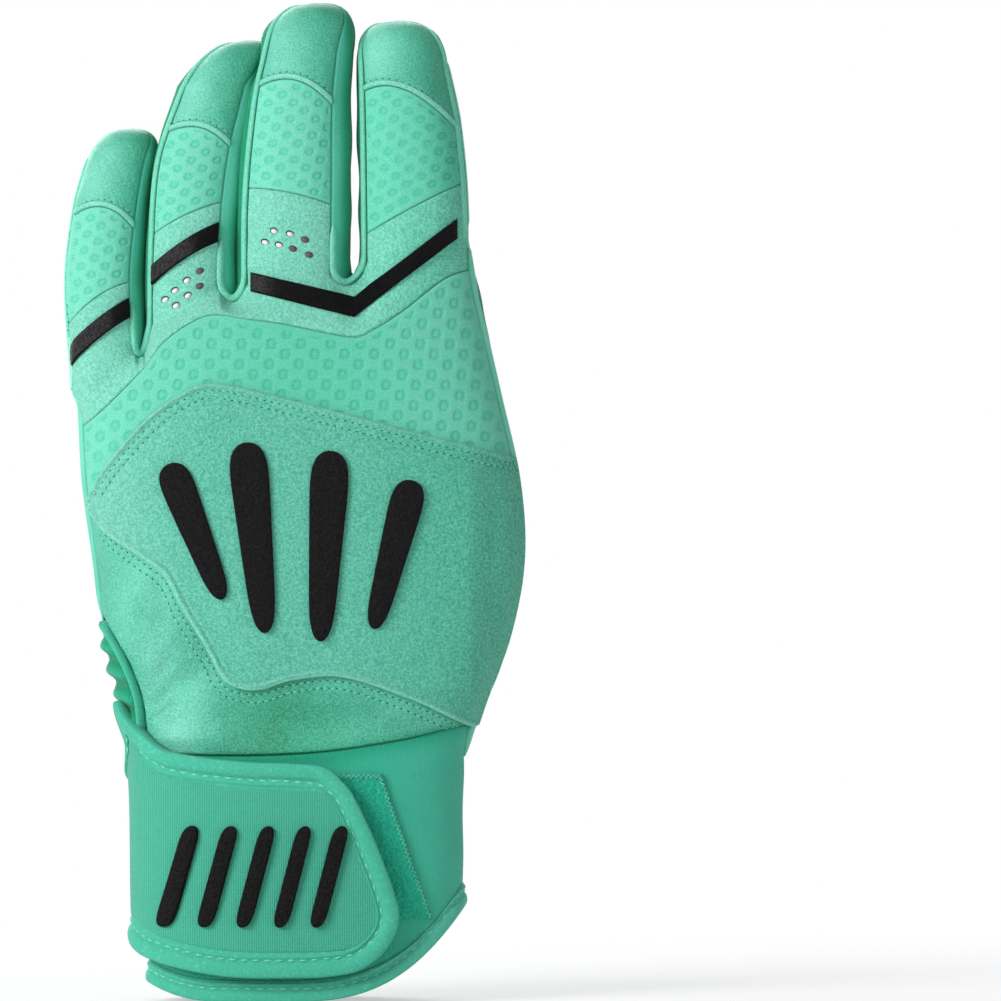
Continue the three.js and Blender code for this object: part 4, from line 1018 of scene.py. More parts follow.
cap_rows = []
for i, finger in enumerate(FINGERS):
    name = finger["name"]
    cap = Sheet(finger_panel(i, "back", 60, 84, lambda t: cross_seam(finger["cap"], t) + SEAM_GAP,
                             dome_share=0.45))
    above = distance_to(cap_line(finger, 0), cap.points)
    on_fold = smooth((FOLD_WIDTH + 0.2 - above) / 0.4)
    fold = FOLD_RISE * on_fold + groove(above, FOLD_ROW, 0.2, 0.35)
    # Tone paints a highlight on the raised fold band and shade over the cap's thumb side.
    panel(f"{name}_tip_hide", cap, *SKIN,
          lambda p, d: sink(d, 0.15, 0.6) + fold + 0.12 * ripple(p, 7, 11 + i) * smooth(d / 3),
          TIP_LEATHER, "leather", [f"{name}_tip_cap"],
          tone=lambda p, d: (0.3 * on_fold
                             + (1 - on_fold) * (0.12 - 0.56 * smooth((finger_side(finger, p) + 0.7) / 1.4))))
    start, stop = seam_angles(i, "back", np.zeros(1))
    row_angle = np.linspace(start[0] + 4, stop[0] - 4, 50)
    row_t = width_share(row_angle, FINGER_ROUNDNESS)
    edge = finger_round(finger, row_angle, cross_seam(finger["cap"], row_t))
    step = np.gradient(edge, axis=0)
    slope = step[:, 2] / np.hypot(step[:, 0], step[:, 1])
    row_rise = FOLD_ROW * np.sqrt(1 + slope ** 2)
    row = finger_round(finger, row_angle, cross_seam(finger["cap"], row_t) + row_rise)
    cap_rows.append(laid_on(cap.tree, row))
    mesh = Sheet(finger_panel(i, "back", 90, 96, lambda t: cross_seam(finger["mesh"], t) + SEAM_GAP,
                              lambda t: cross_seam(finger["cap"], t) - SEAM_GAP))
    inside = smooth((mesh.rim_distance() - 0.5) / 0.8) * smooth((-mesh.normals[:, 1] - 0.25) / 0.3)
    spots = dimples(mesh.points, **FINGER_DIMPLES) * inside
    # Tone paints shade in the dimples, over the finger's thumb side and towards the hand's thumb side.
    panel(f"{name}_mesh_cloth", mesh, *SKIN, lambda p, d: sink(d, 0.2, 0.5) + 0.3 * spots, MESH, "mesh",
          [f"{name}_mesh_panel"], uv=flat_uv,
          tone=lambda p, d: (0.46 * spots - 0.3 * smooth(finger_side(finger, p))
                              - 0.15 * smooth((p[:, 0] - 5) / 15)))
stitch_rows("cap_seams", cap_rows, THREAD, "leather", **LEATHER_THREAD)


# Knuckle panels
PERFORATIONS = {
    1: [(201, 272), (188, 281), (176, 291), (166, 300), (201, 287), (189, 296), (177, 306)],
    2: [(275, 232), (291, 235), (306, 241), (266, 243), (280, 246), (294, 250), (310, 256)],
}
PIXEL = 0.24
ORIGIN_PIXEL = (297, 998)


def from_pixel(px, py):
    return (px - ORIGIN_PIXEL[0]) * PIXEL, (ORIGIN_PIXEL[1] - py) * PIXEL


HOLES = [from_pixel(*spot) for spots in PERFORATIONS.values() for spot in spots]
SHADED_HOLES = [from_pixel(*spot) for spot in [(201, 272), (201, 287), (306, 241), (294, 250), (310, 256)]]


OUTSIDE_Y = -80


def drop_on(tree, x, z):
    """Points of a back surface under x and z, reached from outside."""
    spots = np.empty(x.shape + (3,))
    for index in np.ndindex(x.shape):
        hit = tree.ray_cast(Vector((x[index], OUTSIDE_Y, z[index])), Vector((0, 1, 0)))[0]
        spots[index] = hit if hit is not None else hand_at(-1, x[index], z[index])
    return spots


def knuckle_sheet(first, last):
    grids = []
    line = seam(KNUCKLE_SEAM, SEAM_GAP)
    for i in range(first, last + 1):
        finger = FINGERS[i]
        lobe = finger_panel(i, "back", 72, 60, lambda t: base_height(finger, t),
                            lambda t: cross_seam(finger["mesh"], t) - SEAM_GAP)
        grids += [lobe, knuckle_loft(-1, lobe[:, 0], line, 30)]
    # Skin round each crotch; one between two panels is shared half and half
    for i in range(max(first - 1, 0), min(last + 1, 3)):
        s = np.linspace(0.5 if i < first else 0, 0.5 if i == last else 1, 15)
        drop = CROTCH_DROP * np.clip(4 * np.minimum(s, 1 - s), 0, 1)
        start = seam_angles(i, "back", np.zeros(1))[1][0] - ANGLE_GAP
        stop = seam_angles(i + 1, "back", np.zeros(1))[0][0] + ANGLE_GAP
        grids.append(knuckle_loft(-1, crotch_point(i, start, stop, s, drop), line, 30))
    return Sheet(*grids)


knuckle_sheets = {"little_knuckle_panel": knuckle_sheet(0, 0), "knuckle_panel": knuckle_sheet(1, 3)}
# Tone paints shade over the knuckles towards the thumb side.
for name, sheet in knuckle_sheets.items():
    panel(f"{name}_suede", sheet, *SKIN,
          lambda p, d: sink(d, 0.2, 0.5) + 0.1 * ripple(p, 9, 31),
          SUEDE, "suede", [name], tone=lambda p, d: 0.08 - 0.33 * smooth((p[:, 0] - 5) / 40))


# Perforations: a cut edge in painted shade round the pale lining behind
knuckle_faces = knuckle_sheets["knuckle_panel"].tree
LIT_HOLES = [hole for hole in HOLES if hole not in SHADED_HOLES]
HOLE_TILT = (28 * RAD, -20 * RAD)
HOLE_TILT_X = -14


def ovals(name, half, shift, rise, material, holes):
    """Thin oval plates at the perforations, on the knuckle panel's face."""
    vertices, faces, count = [], [], 14
    turn = np.linspace(0, 2 * math.pi, count, endpoint=False)
    for x, z in holes:
        tilt = HOLE_TILT[0] if x < HOLE_TILT_X else HOLE_TILT[1]
        long, short = np.cos(turn) * half[0], np.sin(turn) * half[1]
        across = long * math.cos(tilt) - short * math.sin(tilt)
        up = long * math.sin(tilt) + short * math.cos(tilt)
        spots = drop_on(knuckle_faces, x + shift[0] + across, z + shift[1] + up)
        first = len(vertices)
        for level in (-rise, 0.2):
            vertices += (spots + np.array([0, level, 0])).tolist()
        faces += tube_faces(first, 2, count)
    return make_object(name, vertices, faces, material, "glove")


ovals("perforation_edge_shade", (1.05, 0.78), (0, 0), 0.04, SHADE, HOLES)
# Each pale lining sits a little low in its hole, so the dark plate shows as a painted shadow under the hole's
# upper edge.
ovals("perforation_lining", (0.84, 0.54), (0.1, -0.17), 0.09, LINING, LIT_HOLES)
# Holes on the shaded side get a lining painted in shade.
ovals("perforation_lining_in_shade", (0.9, 0.6), (0.02, -0.12), 0.09, SHADED_LINING, SHADED_HOLES)


# Side strips between the fingers
def side_sheet(i):
    left, right = FINGERS[i], FINGERS[i + 1]
    grids = []
    for finger, ulnar in ((left, False), (right, True)):
        u, v = mesh_grid(16, 60, 0.4)
        base_angles = (BACK_THUMB, PALM_THUMB) if not ulnar else (PALM_ULNAR, BACK_ULNAR + 360)
        angle = lerp(base_angles[0] + ANGLE_GAP, base_angles[1] - ANGLE_GAP, u)
        level = up_finger(finger, finger_base(finger, angle), v, 0.28, 0.9)
        run = smooth(np.clip(level - finger["dome"], 0, 1))
        end = TIP_THUMB if not ulnar else TIP_ULNAR + 360
        start = lerp(base_angles[0], end, run) + ANGLE_GAP * (1 - run)
        stop = lerp(base_angles[1], end, run) - ANGLE_GAP * (1 - run)
        grids.append(finger_round(finger, lerp(start, stop, u), level))
    u, s = np.meshgrid(shares(16, 0.4), np.linspace(0, 1, 17), indexing="ij")
    left_angle = lerp(BACK_THUMB + ANGLE_GAP, PALM_THUMB - ANGLE_GAP, u)
    right_angle = lerp(BACK_ULNAR + 360 - ANGLE_GAP, PALM_ULNAR + ANGLE_GAP, u)
    a = finger_round(left, left_angle, finger_base(left, left_angle))
    b = finger_round(right, right_angle, finger_base(right, right_angle))
    p = b + (a - b) * s[..., None]
    p[..., 2] -= CROTCH_DIP * np.sin(math.pi * s)
    grids.append(p)
    return Sheet(*grids)


SIDE_BULGE = (0.5, 1.1, 0.4)
# Painted light on each strip's near part and painted shade over its deep part, beyond the finger's thumb
# side.
SIDE_PAINTED_SHADE = (-1.1, -1.2, -1.3)
SIDE_PAINTED_LIGHT = (0.1, 0.2, 0.2)
for i, name in enumerate(("little_ring", "ring_middle", "middle_index")):
    side = side_sheet(i)
    panel(f"side_strip_{name}", side, -1.0, 0,
          lambda p, d: (SIDE_BULGE[i] + 0.45 * ripple(p, 15, 41 + i)) * smooth(d / 4),
          SIDE, "side_cloth", [f"fourchette_{name}"], uv=flat_uv,
          tone=lambda p, d: SIDE_PAINTED_LIGHT[i] + SIDE_PAINTED_SHADE[i] * smooth((finger_side(FINGERS[i], p) - 0.76) / 0.24))


# Rolled seam edges: from one finger's thumb side round the crotch and up the next finger's ulnar side
ROLL_RADIUS = 0.95
ROLL_TOP = 0.82


def finger_normals(finger, angle, level):
    across = finger_round(finger, angle + 2, level) - finger_round(finger, angle - 2, level)
    up = finger_round(finger, angle, level + 0.02) - finger_round(finger, angle, level - 0.02)
    return unit(np.cross(across, up))


def finger_edge(finger, angle_low, angle_high, top):
    """Line up a finger's side, from its base to a share of its dome, drawn in to the strip's end."""
    base = float(finger_base(finger, angle_low))
    shaft, dome = np.linspace(base, finger["dome"], 60), finger["dome"] + np.linspace(0.05, top, 16)
    level = np.concatenate([shaft, dome])
    run = smooth(np.clip(level - finger["dome"], 0, 1))
    angle = lerp(angle_low, angle_high, run)
    return finger_round(finger, angle, level), finger_normals(finger, angle, level)


def crotch_roll(i):
    left, right = FINGERS[i], FINGERS[i + 1]
    up, up_normals = finger_edge(right, BACK_ULNAR - 6, TIP_ULNAR, ROLL_TOP)
    down, down_normals = finger_edge(left, BACK_THUMB + 3, TIP_THUMB, 0.1)
    short = down[:, 2] < down[0, 2] + 12
    down, down_normals = down[short][::-1], down_normals[short][::-1]
    s = np.linspace(0, 1, 14)[1:-1]
    bend = crotch_point(i, BACK_THUMB + 3, BACK_ULNAR - 6, s, CROTCH_DROP * 0.5)
    bend_normals = unit(lerp(down_normals[-1], up_normals[0], s[:, None]) + np.array([0, -0.7, 0.2]))
    path = np.concatenate([down, bend, up])
    normals = np.concatenate([down_normals, bend_normals, up_normals])
    ease(path, 6)
    for _ in range(6):
        normals[1:-1] = unit(normals[:-2] + 2 * normals[1:-1] + normals[2:])
    return path + normals * 0.05, normals


welt("finger_seam_rolls", [crotch_roll(i) for i in range(3)], ROLL_RADIUS, ROLL_LEATHER, "leather", flat=0.7)
index_edge = finger_edge(FINGERS[3], 72, 72, 0.6)
welt("index_seam_roll", [index_edge], 1.0, ROLL_LEATHER, "leather", flat=0.7)


def side_roll(angle, low, high):
    """Line up a side seam of the hand, with its normals."""
    level = np.linspace(low, high, 80)
    spots = hand_round(np.full(80, float(angle)), level)
    return spots, np.repeat([[float(np.sign(angle)), 0.0, 0.0]], 80, axis=0)


welt("ulnar_seam_roll", [side_roll(-90, 91, 156)], 1.25, PALM_LEATHER, "leather", flat=0.9, ends=6.0)
welt("thumb_seam_roll", [side_roll(90, 58, 180)], 1.3, PALM_LEATHER, "leather", flat=0.9, ends=4.0)
u, v = mesh_grid(20, 120, 0.2)
for name, start, stop, low in (("thumb", 76, 112, 58), ("ulnar", -112, -76, 93)):
    allowance = Sheet(hand_round(lerp(start, stop, u), lerp(low, 176 if start > 0 else 152, v)))
    panel(f"{name}_seam_allowance", allowance, -1.9, -0.9, no_relief, PALM_LEATHER, "leather",
          ["palm_leather"])
for finger, start, stop in ((FINGERS[0], -112, -76), (FINGERS[3], 76, 112)):
    level = up_finger(finger, finger["base"][0], v, 0.25, 0.85)
    allowance = Sheet(finger_round(finger, lerp(start, stop, u), level))
    panel(f"{finger['name']}_seam_allowance", allowance, -1.7, -0.7, no_relief, PALM_LEATHER, "leather",
          ["palm_leather"])


# Back of the hand
HAND_DIMPLES = dict(pitch=(7.1, 2.45), half=(1.2, 1.5), lean=0.1)
hand_shares = np.linspace(-OUTER_SHARE, OUTER_SHARE, 281)
mesh_low, mesh_high = seam(SHIELD_TOP, SEAM_GAP), seam(KNUCKLE_SEAM, -SEAM_GAP)
hand_mesh = Sheet(hand_columns(-1, hand_shares, mesh_low, mesh_high, 110))
hand_spots = dimples(hand_mesh.points, **HAND_DIMPLES) * smooth((hand_mesh.rim_distance() - 0.9) / 0.8)
hand_spots = hand_spots * smooth((-hand_mesh.normals[:, 1] - 0.2) / 0.3)
# Tone paints shade in the dimples and over the middle of the back.
panel("hand_mesh_cloth", hand_mesh, *SKIN, lambda p, d: sink(d, 0.1, 0.5) + 0.26 * hand_spots,
      HAND_MESH, "mesh", ["hand_mesh_panel"], uv=flat_uv,
      tone=lambda p, d: 0.4 * hand_spots - 0.24 * np.exp(-((p[:, 0] - 2) / 24) ** 2))

# Padded shield: it ends in a blunt tip at the ulnar side and runs out round the thumb side
SHIELD_LIP, SHIELD_ROWS = 0.5, (1.75, 3.5)
SHIELD_THREAD = dict(pitch=1.8, length=1.0, radius=0.17)
SHIELD_TIP_ROUND = 3.0


def shield_sheet():
    u, v = mesh_grid(240, 130)
    first = float(angle_of(SHIELD_START_X, SHIELD_START_Z))
    angle = lerp(first, OUTER - 0.5, u)
    low = on_seam(angle, seam(SHIELD_BOTTOM, -SHIELD_LAP))
    high = on_seam(angle, seam(SHIELD_TOP, SHIELD_LAP))
    middle = (low + high) / 2
    run = hand_x(angle, middle) - hand_x(first, SHIELD_START_Z)
    pinch = 1 - np.sqrt(1 - (1 - np.clip(run / SHIELD_TIP_ROUND, 0, 1)) ** 2)
    return Sheet(hand_round(angle, lerp(lerp(low, high, v), lerp(middle - 0.6, middle + 0.6, v), pinch)))


shield = shield_sheet()


def upper_rim(p):
    """True for points of the shield's upper edge."""
    return p[2] > along(SHIELD_TOP, 1, p[0]) - 0.5 and p[0] > SHIELD_START_X + 1.0


def shield_relief(p, d):
    side = smooth((48 - p[:, 0]) / 8)
    lip = 0.4 * np.exp(-((d - SHIELD_LIP) / 0.45) ** 2) - 0.12 * np.exp(-((d - 1.3) / 0.4) ** 2)
    top = p[:, 2] > (along(SHIELD_TOP, 1, p[:, 0]) + along(SHIELD_BOTTOM, 1, p[:, 0])) / 2
    upper_rows = groove(d, SHIELD_ROWS[0], 0.3) + groove(d, SHIELD_ROWS[1], 0.3)
    rows = np.where(top, upper_rows, groove(d, 1.5, 0.12))
    return lip + rows + side * (0.8 * smooth((d - 3.6) / 6) + 0.12 * ripple(p, 18, 51))


shield_top = SHIELD_BASE + SHIELD_THICK * (1 - 0.6 * smooth((shield.points[:, 0] - 40) / 9))
# Tone paints a highlight along the rim and on the ulnar side, and shade towards the thumb side.
shield_piece = panel("shield_suede", shield, SHIELD_BASE, shield_top, shield_relief, SHIELD_SUEDE, "suede",
                     ["shield_panel"], round_edge=0.7,
                     tone=lambda p, d: (0.25 * np.exp(-(d / 1.1) ** 2) + 0.2 * smooth((-20 - p[:, 0]) / 25)
                                        - 0.15 * smooth((p[:, 0] - 5) / 40)))
lip_x = np.linspace(-47, 44, 240)
lip_edge = hand_at(-1, lip_x, along(SHIELD_BOTTOM, 1, lip_x) - SHIELD_LAP + 0.75)
lip_spots, lip_normals = laid_on(shield.tree, resample(lip_edge, 0.5))
ease(lip_spots, 4)
# The lip's lighter suede is a painted highlight.
welt("shield_lip", [(lip_spots, lip_normals)], 0.62, SHIELD_LIP_HIGHLIGHT_SUEDE, "suede", flat=0.7)
shield_rows = [line for inset in SHIELD_ROWS for line in rim_paths(shield, inset, upper_rim)]
stitch_rows("shield_upper_rows", shield_rows, THREAD, "suede", **SHIELD_THREAD)

FOAM_START_X = -42
foam = Sheet(hand_band(float(angle_of(FOAM_START_X, 120)), 88, 60, 24, seam(SHIELD_BOTTOM, 3.2),
                       seam(SHIELD_TOP, -SHIELD_LAP)))
foam_piece = panel("shield_pad", foam, -1.3, 0, no_relief, LINING, "foam", ["shield_foam"])
lining = Sheet(hand_band(-80, 80, 60, 24, lambda x: 97 + 0 * x, seam(SHIELD_TOP, -SHIELD_LAP)))
panel("inner_lining", lining, -2.8, -1.9, no_relief, KNIT, "lining", ["back_lining"], uv=round_uv)


# Lower back panel, cut back along the vent
def lower_back_sheet():
    u, v = mesh_grid(150, 70)
    angle = lerp(-OUTER + 0.5, OUTER - 0.5, u)
    z = lerp(on_seam(angle, seam(CUFF_TOP, SEAM_GAP)), on_seam(angle, seam(SHIELD_BOTTOM, -SEAM_GAP)), v)
    share = (width_share(angle, HAND_ROUNDNESS) + 1) / 2
    edge = along(HAND, 1, z)
    left = np.where(z < VENT_EDGE[-1][0], np.maximum(along(VENT_EDGE, 1, z), edge), edge)
    return Sheet(hand_at(-1, lerp(left, along(HAND, 2, z), share), z))


# Folds of the lower leather: from and to, as x and height, half width, rise
LOWER_FOLDS = [
    ((-38, 63), (-12, 58), 5.0, 1.5),
    ((-36, 70), (-14, 84), 3.2, -0.8),
    ((-38, 76), (-27, 92), 2.6, 0.7),
    ((-42, 88), (-34, 108), 3.0, 0.6),
    ((-33, 84), (-31, 106), 2.2, -0.5),
    ((-10, 69), (22, 66), 3.0, -0.4),
    ((8, 64), (40, 70), 2.4, 0.4),
    ((-36, 66), (-26, 72), 0.9, -0.4),
    ((-36.5, 69), (-27, 77), 0.9, -0.4),
    ((-37, 72.5), (-29, 82), 0.9, -0.35),
]
LOWER_ROWS = (1.5, 3.3)


def lower_relief(p, d):
    fold = 0.22 * ripple(p, 14, 61) + 0.1 * ripple(p, 6, 62)
    for start, stop, width, rise in LOWER_FOLDS:
        fold = fold + rise * crease(p, start, stop, width)
    hem = 0.5 * np.exp(-((p[:, 2] - along(CUFF_TOP, 1, p[:, 0])) / 2.2) ** 2)
    return sink(d, 0.2, 0.5) + hem + fold * smooth(d / 5)


def lower_painted_light(p, d):
    """Painted highlight on the bulge beside the vent, painted shade over the middle and a painted shadow
    along the cuff's seam.
    """
    lit = 0.36 * hump(p, -27, 63.5, 6, 5) + 0.22 * hump(p, -22.5, 70, 6, 5) + 0.25 * hump(p, -33, 81, 5, 6)
    above = p[:, 2] - along(CUFF_TOP, 1, p[:, 0])
    seam_shade = smooth((p[:, 0] + 24) / 8) * np.exp(-(above / 1.6) ** 2)
    return lit - 0.75 * hump(p, -4, 67, 18, 10) - 0.5 * seam_shade


lower = lower_back_sheet()
panel("lower_back_hide", lower, *SKIN, lower_relief, BACK_LEATHER, "leather", ["lower_back_panel"],
      tone=lower_painted_light)
row_x = np.linspace(-46, 40, 260)
shield_edge = hand_at(-1, row_x, along(SHIELD_BOTTOM, 1, row_x) - SHIELD_LAP)
down = unit(np.cross(np.array([0, -1.0, 0]), tangents(shield_edge)))
down *= -np.sign(down[:, 2:3] + 1e-9)
lower_rows = [laid_on(lower.tree, resample(shield_edge + down * inset, 0.5)) for inset in LOWER_ROWS]
stitch_rows("shield_lower_rows", lower_rows, THREAD, "leather", **SHIELD_THREAD)


# Vent piping and gathered elastic
VENT_TOP = 90.5


def vent_binding_sheet():
    u, v = mesh_grid(14, 60, 0.2)
    foot = float(on_seam(np.array(-80.0), seam(CUFF_TOP)))
    z = lerp(foot + 0.3, VENT_TOP, v)
    left = np.maximum(along(VENT_EDGE, 1, z), along(HAND, 1, z) + 0.4) - 0.4
    width = lerp(1.2, 0.6, smooth((z - VENT_TOP + 9) / 9))
    return Sheet(hand_at(-1, left - width * (1 - u), z))


def vent_side(p):
    """How far points stand clear of the lower back panel, out through the vent on the back's side."""
    clear = smooth((along(VENT_EDGE, 1, p[:, 2]) - p[:, 0]) / 2.0)
    return clear * smooth((3.0 - p[:, 1]) / 2.5) * smooth((p[:, 2] - 59.5) / 1.5)


vent = vent_binding_sheet()
panel("vent_piping", vent, -1.2, 0.4, lambda p, d: np.sqrt(np.clip(d / 0.6, 0, 1)), BINDING, "binding",
      ["vent_binding"])
GATHER_PITCH = 5.2


def gathers(p):
    """Waves of the gathered elastic, from -1 to 1."""
    return np.sin((p[:, 2] + 0.35 * p[:, 0]) * 2 * math.pi / GATHER_PITCH)


u, v = mesh_grid(60, 90, 0.2)
elastic = Sheet(hand_round(lerp(-132, -50, u), lerp(54, 92, v)))
# Tone paints the elastic in shade where it shows in the vent, with painted highlights on the crests of its
# gathers and painted shade in their troughs.
panel("gathered_elastic", elastic, -2.1, -0.9, lambda p, d: (2.0 + 0.8 * gathers(p)) * vent_side(p),
      KNIT, "elastic", ["wrist_elastic"], uv=round_uv,
      tone=lambda p, d: smooth((p[:, 2] - 59) / 3) * (0.45 * gathers(p) - 0.75))


# Moulded black stripes
def film(name, sheet, base, thick, nodes, body="glove", crown=0.15, sheen_span=None):
    """Moulded rubber with a black edge; a sheen span gives the x where its painted grey sheen starts and ends
    turning black.
    """
    def tone(p, d):
        if sheen_span is None:
            return np.full(len(p), -0.15)
        painted_sheen = 0.3 - 1.3 * smooth((p[:, 0] - sheen_span[0]) / (sheen_span[1] - sheen_span[0]))
        return np.where(d < 0.3, -0.8, painted_sheen)
    return panel(name, sheet, base, base + thick, lambda p, d: crown * smooth(d / 2), RUBBER, "black_rubber",
                 nodes, body, round_edge=0.45, tone=tone)


# Painted sheen: the stripes and the chevron are grey on their lit left part and turn black towards the right.
STRIPE_SHEEN_SPANS = [(-45.5, -41), (-26, -21)]
CHEVRON_SHEEN_SPAN = (-8, 0)
for i in (0, 1):
    finger = FINGERS[i]
    band = Sheet(finger_panel(i, "back", 60, 14, lambda t: cross_seam(finger["stripe"], t) - STRIPE_WIDTH / 2,
                              lambda t: cross_seam(finger["stripe"], t) + STRIPE_WIDTH / 2, inset=4))
    outer = -1.0 * smooth((finger["stations"][1][1] - 6.0 - band.points[:, 0]) / 3) * (i == 0)
    film(f"{finger['name']}_stripe_film", band, OVERLAY + outer, 0.7, [f"{finger['name']}_stripe"],
         sheen_span=STRIPE_SHEEN_SPANS[i])

u, v = mesh_grid(120, 12, 0.2)
x = lerp(CHEVRON[0][0], CHEVRON[2][0], u)
first = lerp(CHEVRON[0][1], CHEVRON[1][1], (x - CHEVRON[0][0]) / (CHEVRON[1][0] - CHEVRON[0][0]))
second = lerp(CHEVRON[1][1], CHEVRON[2][1], (x - CHEVRON[1][0]) / (CHEVRON[2][0] - CHEVRON[1][0]))
z = np.where(x < CHEVRON[1][0], first, second) + (v - 0.5) * STRIPE_WIDTH
chevron = Sheet(drop_on(knuckle_faces, x, z)).smooth(3)
film("chevron_stripe_film", chevron, OVERLAY, 0.7, ["chevron_stripe"], sheen_span=CHEVRON_SHEEN_SPAN)

for k, (x0, z0, x1, z1, half) in enumerate(GUARD_RIBS):
    u, v = mesh_grid(26, 90, 0.4)
    length = math.hypot(x1 - x0, z1 - z0)
    taper = 1.2 * lerp(0.55, 1, v) * np.sqrt(1 - np.abs(2 * v - 1) ** 7 * 0.985)
    across = (2 * u - 1) * half * taper
    x = lerp(x0, x1, v) + (z1 - z0) / length * across
    z = lerp(z0, z1, v) - (x1 - x0) / length * across
    film(f"guard_rib_{k + 1}_moulding", Sheet(hand_at(-1, x, z)), 1.0, 2.4, [f"guard_rib_{k + 1}"], crown=0.3)


# Cuff
def hem_line(x):
    thumb = HEM_RISE * (np.maximum(x - HEM_START_X, 0) / HEM_RUN) ** HEM_POWER
    beside = np.maximum(HEM_ULNAR["start_x"] - x, 0) / HEM_ULNAR["run"]
    ulnar = HEM_ULNAR["rise"] * beside ** HEM_ULNAR["power"]
    return thumb + ulnar


def cuff_rim(angle):
    back, palm = on_seam(angle, seam(CUFF_TOP)), on_seam(angle, seam(PALM_CUFF_SEAM))
    turn = np.arccos(np.cos(angle * RAD)) / RAD
    return lerp(back, palm, np.clip((turn - 78) / 10, 0, 1)) - SEAM_GAP


def cuff_tone(p, d):
    """Lighter at the thumb side, with a painted shadow just under the leather's seam."""
    below = along(CUFF_TOP, 1, p[:, 0]) - p[:, 2]
    return 0.16 * smooth((p[:, 0] - 10) / 25) - 0.4 * np.exp(-(below / 2.5) ** 2)


u, v = np.meshgrid(np.linspace(0, 1, 181), shares(60, 0.3), indexing="ij")
angle = u * 360 - 180
cuff = Sheet(hand_round(angle, lerp(on_seam(angle, hem_line) + HEM_WIDTH + 0.3, cuff_rim(angle), v)))
panel("cuff_knit", cuff, -1.6, 0, lambda p, d: sink(d, 0.2, 0.6) + 0.25 * ripple(p, 22, 71) * smooth(d / 5),
      KNIT, "knit", ["cuff_sleeve"], uv=round_uv, tone=cuff_tone)

# Bound edges: an outer roll, a groove that holds the stitches and a thin inner roll
HEM_ROLL, STRAP_ROLL = 2.8, 3.7
ROLL = dict(inner_start=0.7, inner_stop=1.9, rise=0.32, inner_rise=0.45)
ROW_GAP = 0.35
EDGE_THREAD = dict(pitch=2.8, length=1.7, radius=0.25)


def half_round(s, start, stop):
    middle, half = (start + stop) / 2, (stop - start) / 2
    return np.sqrt(np.clip(1 - ((s - middle) / half) ** 2, 0, 1))


def bound_profile(s, roll):
    """Height of a bound edge at a distance from its outer side, for the width of its outer roll."""
    outer = ROLL["rise"] * roll * half_round(s, -0.6, roll)
    return outer + ROLL["inner_rise"] * half_round(s, roll + ROLL["inner_start"], roll + ROLL["inner_stop"])


u, v = np.meshgrid(np.linspace(0, 1, 241), shares(30, 0.1), indexing="ij")
angle = u * 360 - 180
hem = Sheet(hand_round(angle, on_seam(angle, hem_line) + (HEM_WIDTH + 0.6) * v))
turn = np.linspace(-180, 180, 361)
hem_edge = hand_round(turn, on_seam(turn, hem_line))
hem_depth = distance_to(hem_edge, hem.points)
panel("cuff_hem_binding", hem, -2.2, 0.2, lambda p, d: bound_profile(hem_depth, HEM_ROLL), BINDING, "binding",
      ["cuff_hem"], round_edge=0.3, tone=lambda p, d: 0.18 * smooth(p[:, 0] / 30))
hem_row = laid_on(hem.tree, hand_round(turn, on_seam(turn, hem_line) + HEM_ROLL + ROW_GAP), 0.1)
sew("hem_row_thread", [hem_row], THREAD, "binding", **EDGE_THREAD)

u, v = mesh_grid(90, 80, 0.3)
right = lerp(LOOP_PATCH["bottom_right"], LOOP_PATCH["top_right"], v)
patch_z = lerp(LOOP_PATCH["bottom"], LOOP_PATCH["top"], v)
patch = Sheet(hand_at(-1, lerp(LOOP_PATCH["left"], right, u), patch_z))
panel("loop_patch_pile", patch, OVERLAY, OVERLAY + 0.8,
      lambda p, d: 0.18 * ripple(p, 1.8, 81) + 0.15 * ripple(p, 1.1, 82), PILE, "loop_pile", ["loop_patch"])


def zigzag(path, normals, pitch, swing):
    """Zig-zag line over a line of points and normals."""
    run = run_along(path)
    at = np.arange(0, run[-1], pitch / 2)
    p = values_at(at, run, path)
    n = unit(values_at(at, run, normals))
    side = np.where(np.arange(len(at)) % 2 == 0, 1.0, -1.0)[:, None]
    return p + np.cross(tangents(p), n) * side * swing + n * 0.12, n


def patch_rim(p):
    """True for points of the loop patch's upper and outer edges."""
    share = (p[2] - LOOP_PATCH["bottom"]) / (LOOP_PATCH["top"] - LOOP_PATCH["bottom"])
    right = lerp(LOOP_PATCH["bottom_right"], LOOP_PATCH["top_right"], share)
    return p[2] > LOOP_PATCH["top"] - 0.6 or p[0] > right - 0.6


loop_lines = [zigzag(*line, 1.2, 0.4) for line in rim_paths(patch, 0.75, patch_rim)]
welt("loop_patch_thread", loop_lines, 0.15, THREAD, "binding", sides=6, flat=1.0, ends=0.5)


# Strap: places on it run from root to end and from the lower edge to the upper one
STRAP_LENGTH, STRAP_HEIGHT = 86.0, 45.0
STRAP_CORNERS = (14.0, 5.0)


def strap_at(a, b):
    angle = lerp(STRAP_ROOT_ANGLE, along(STRAP_END, 1, b), a)
    return hand_round(angle, lerp(along(STRAP_BOTTOM, 1, angle), along(STRAP_TOP, 1, angle), b))


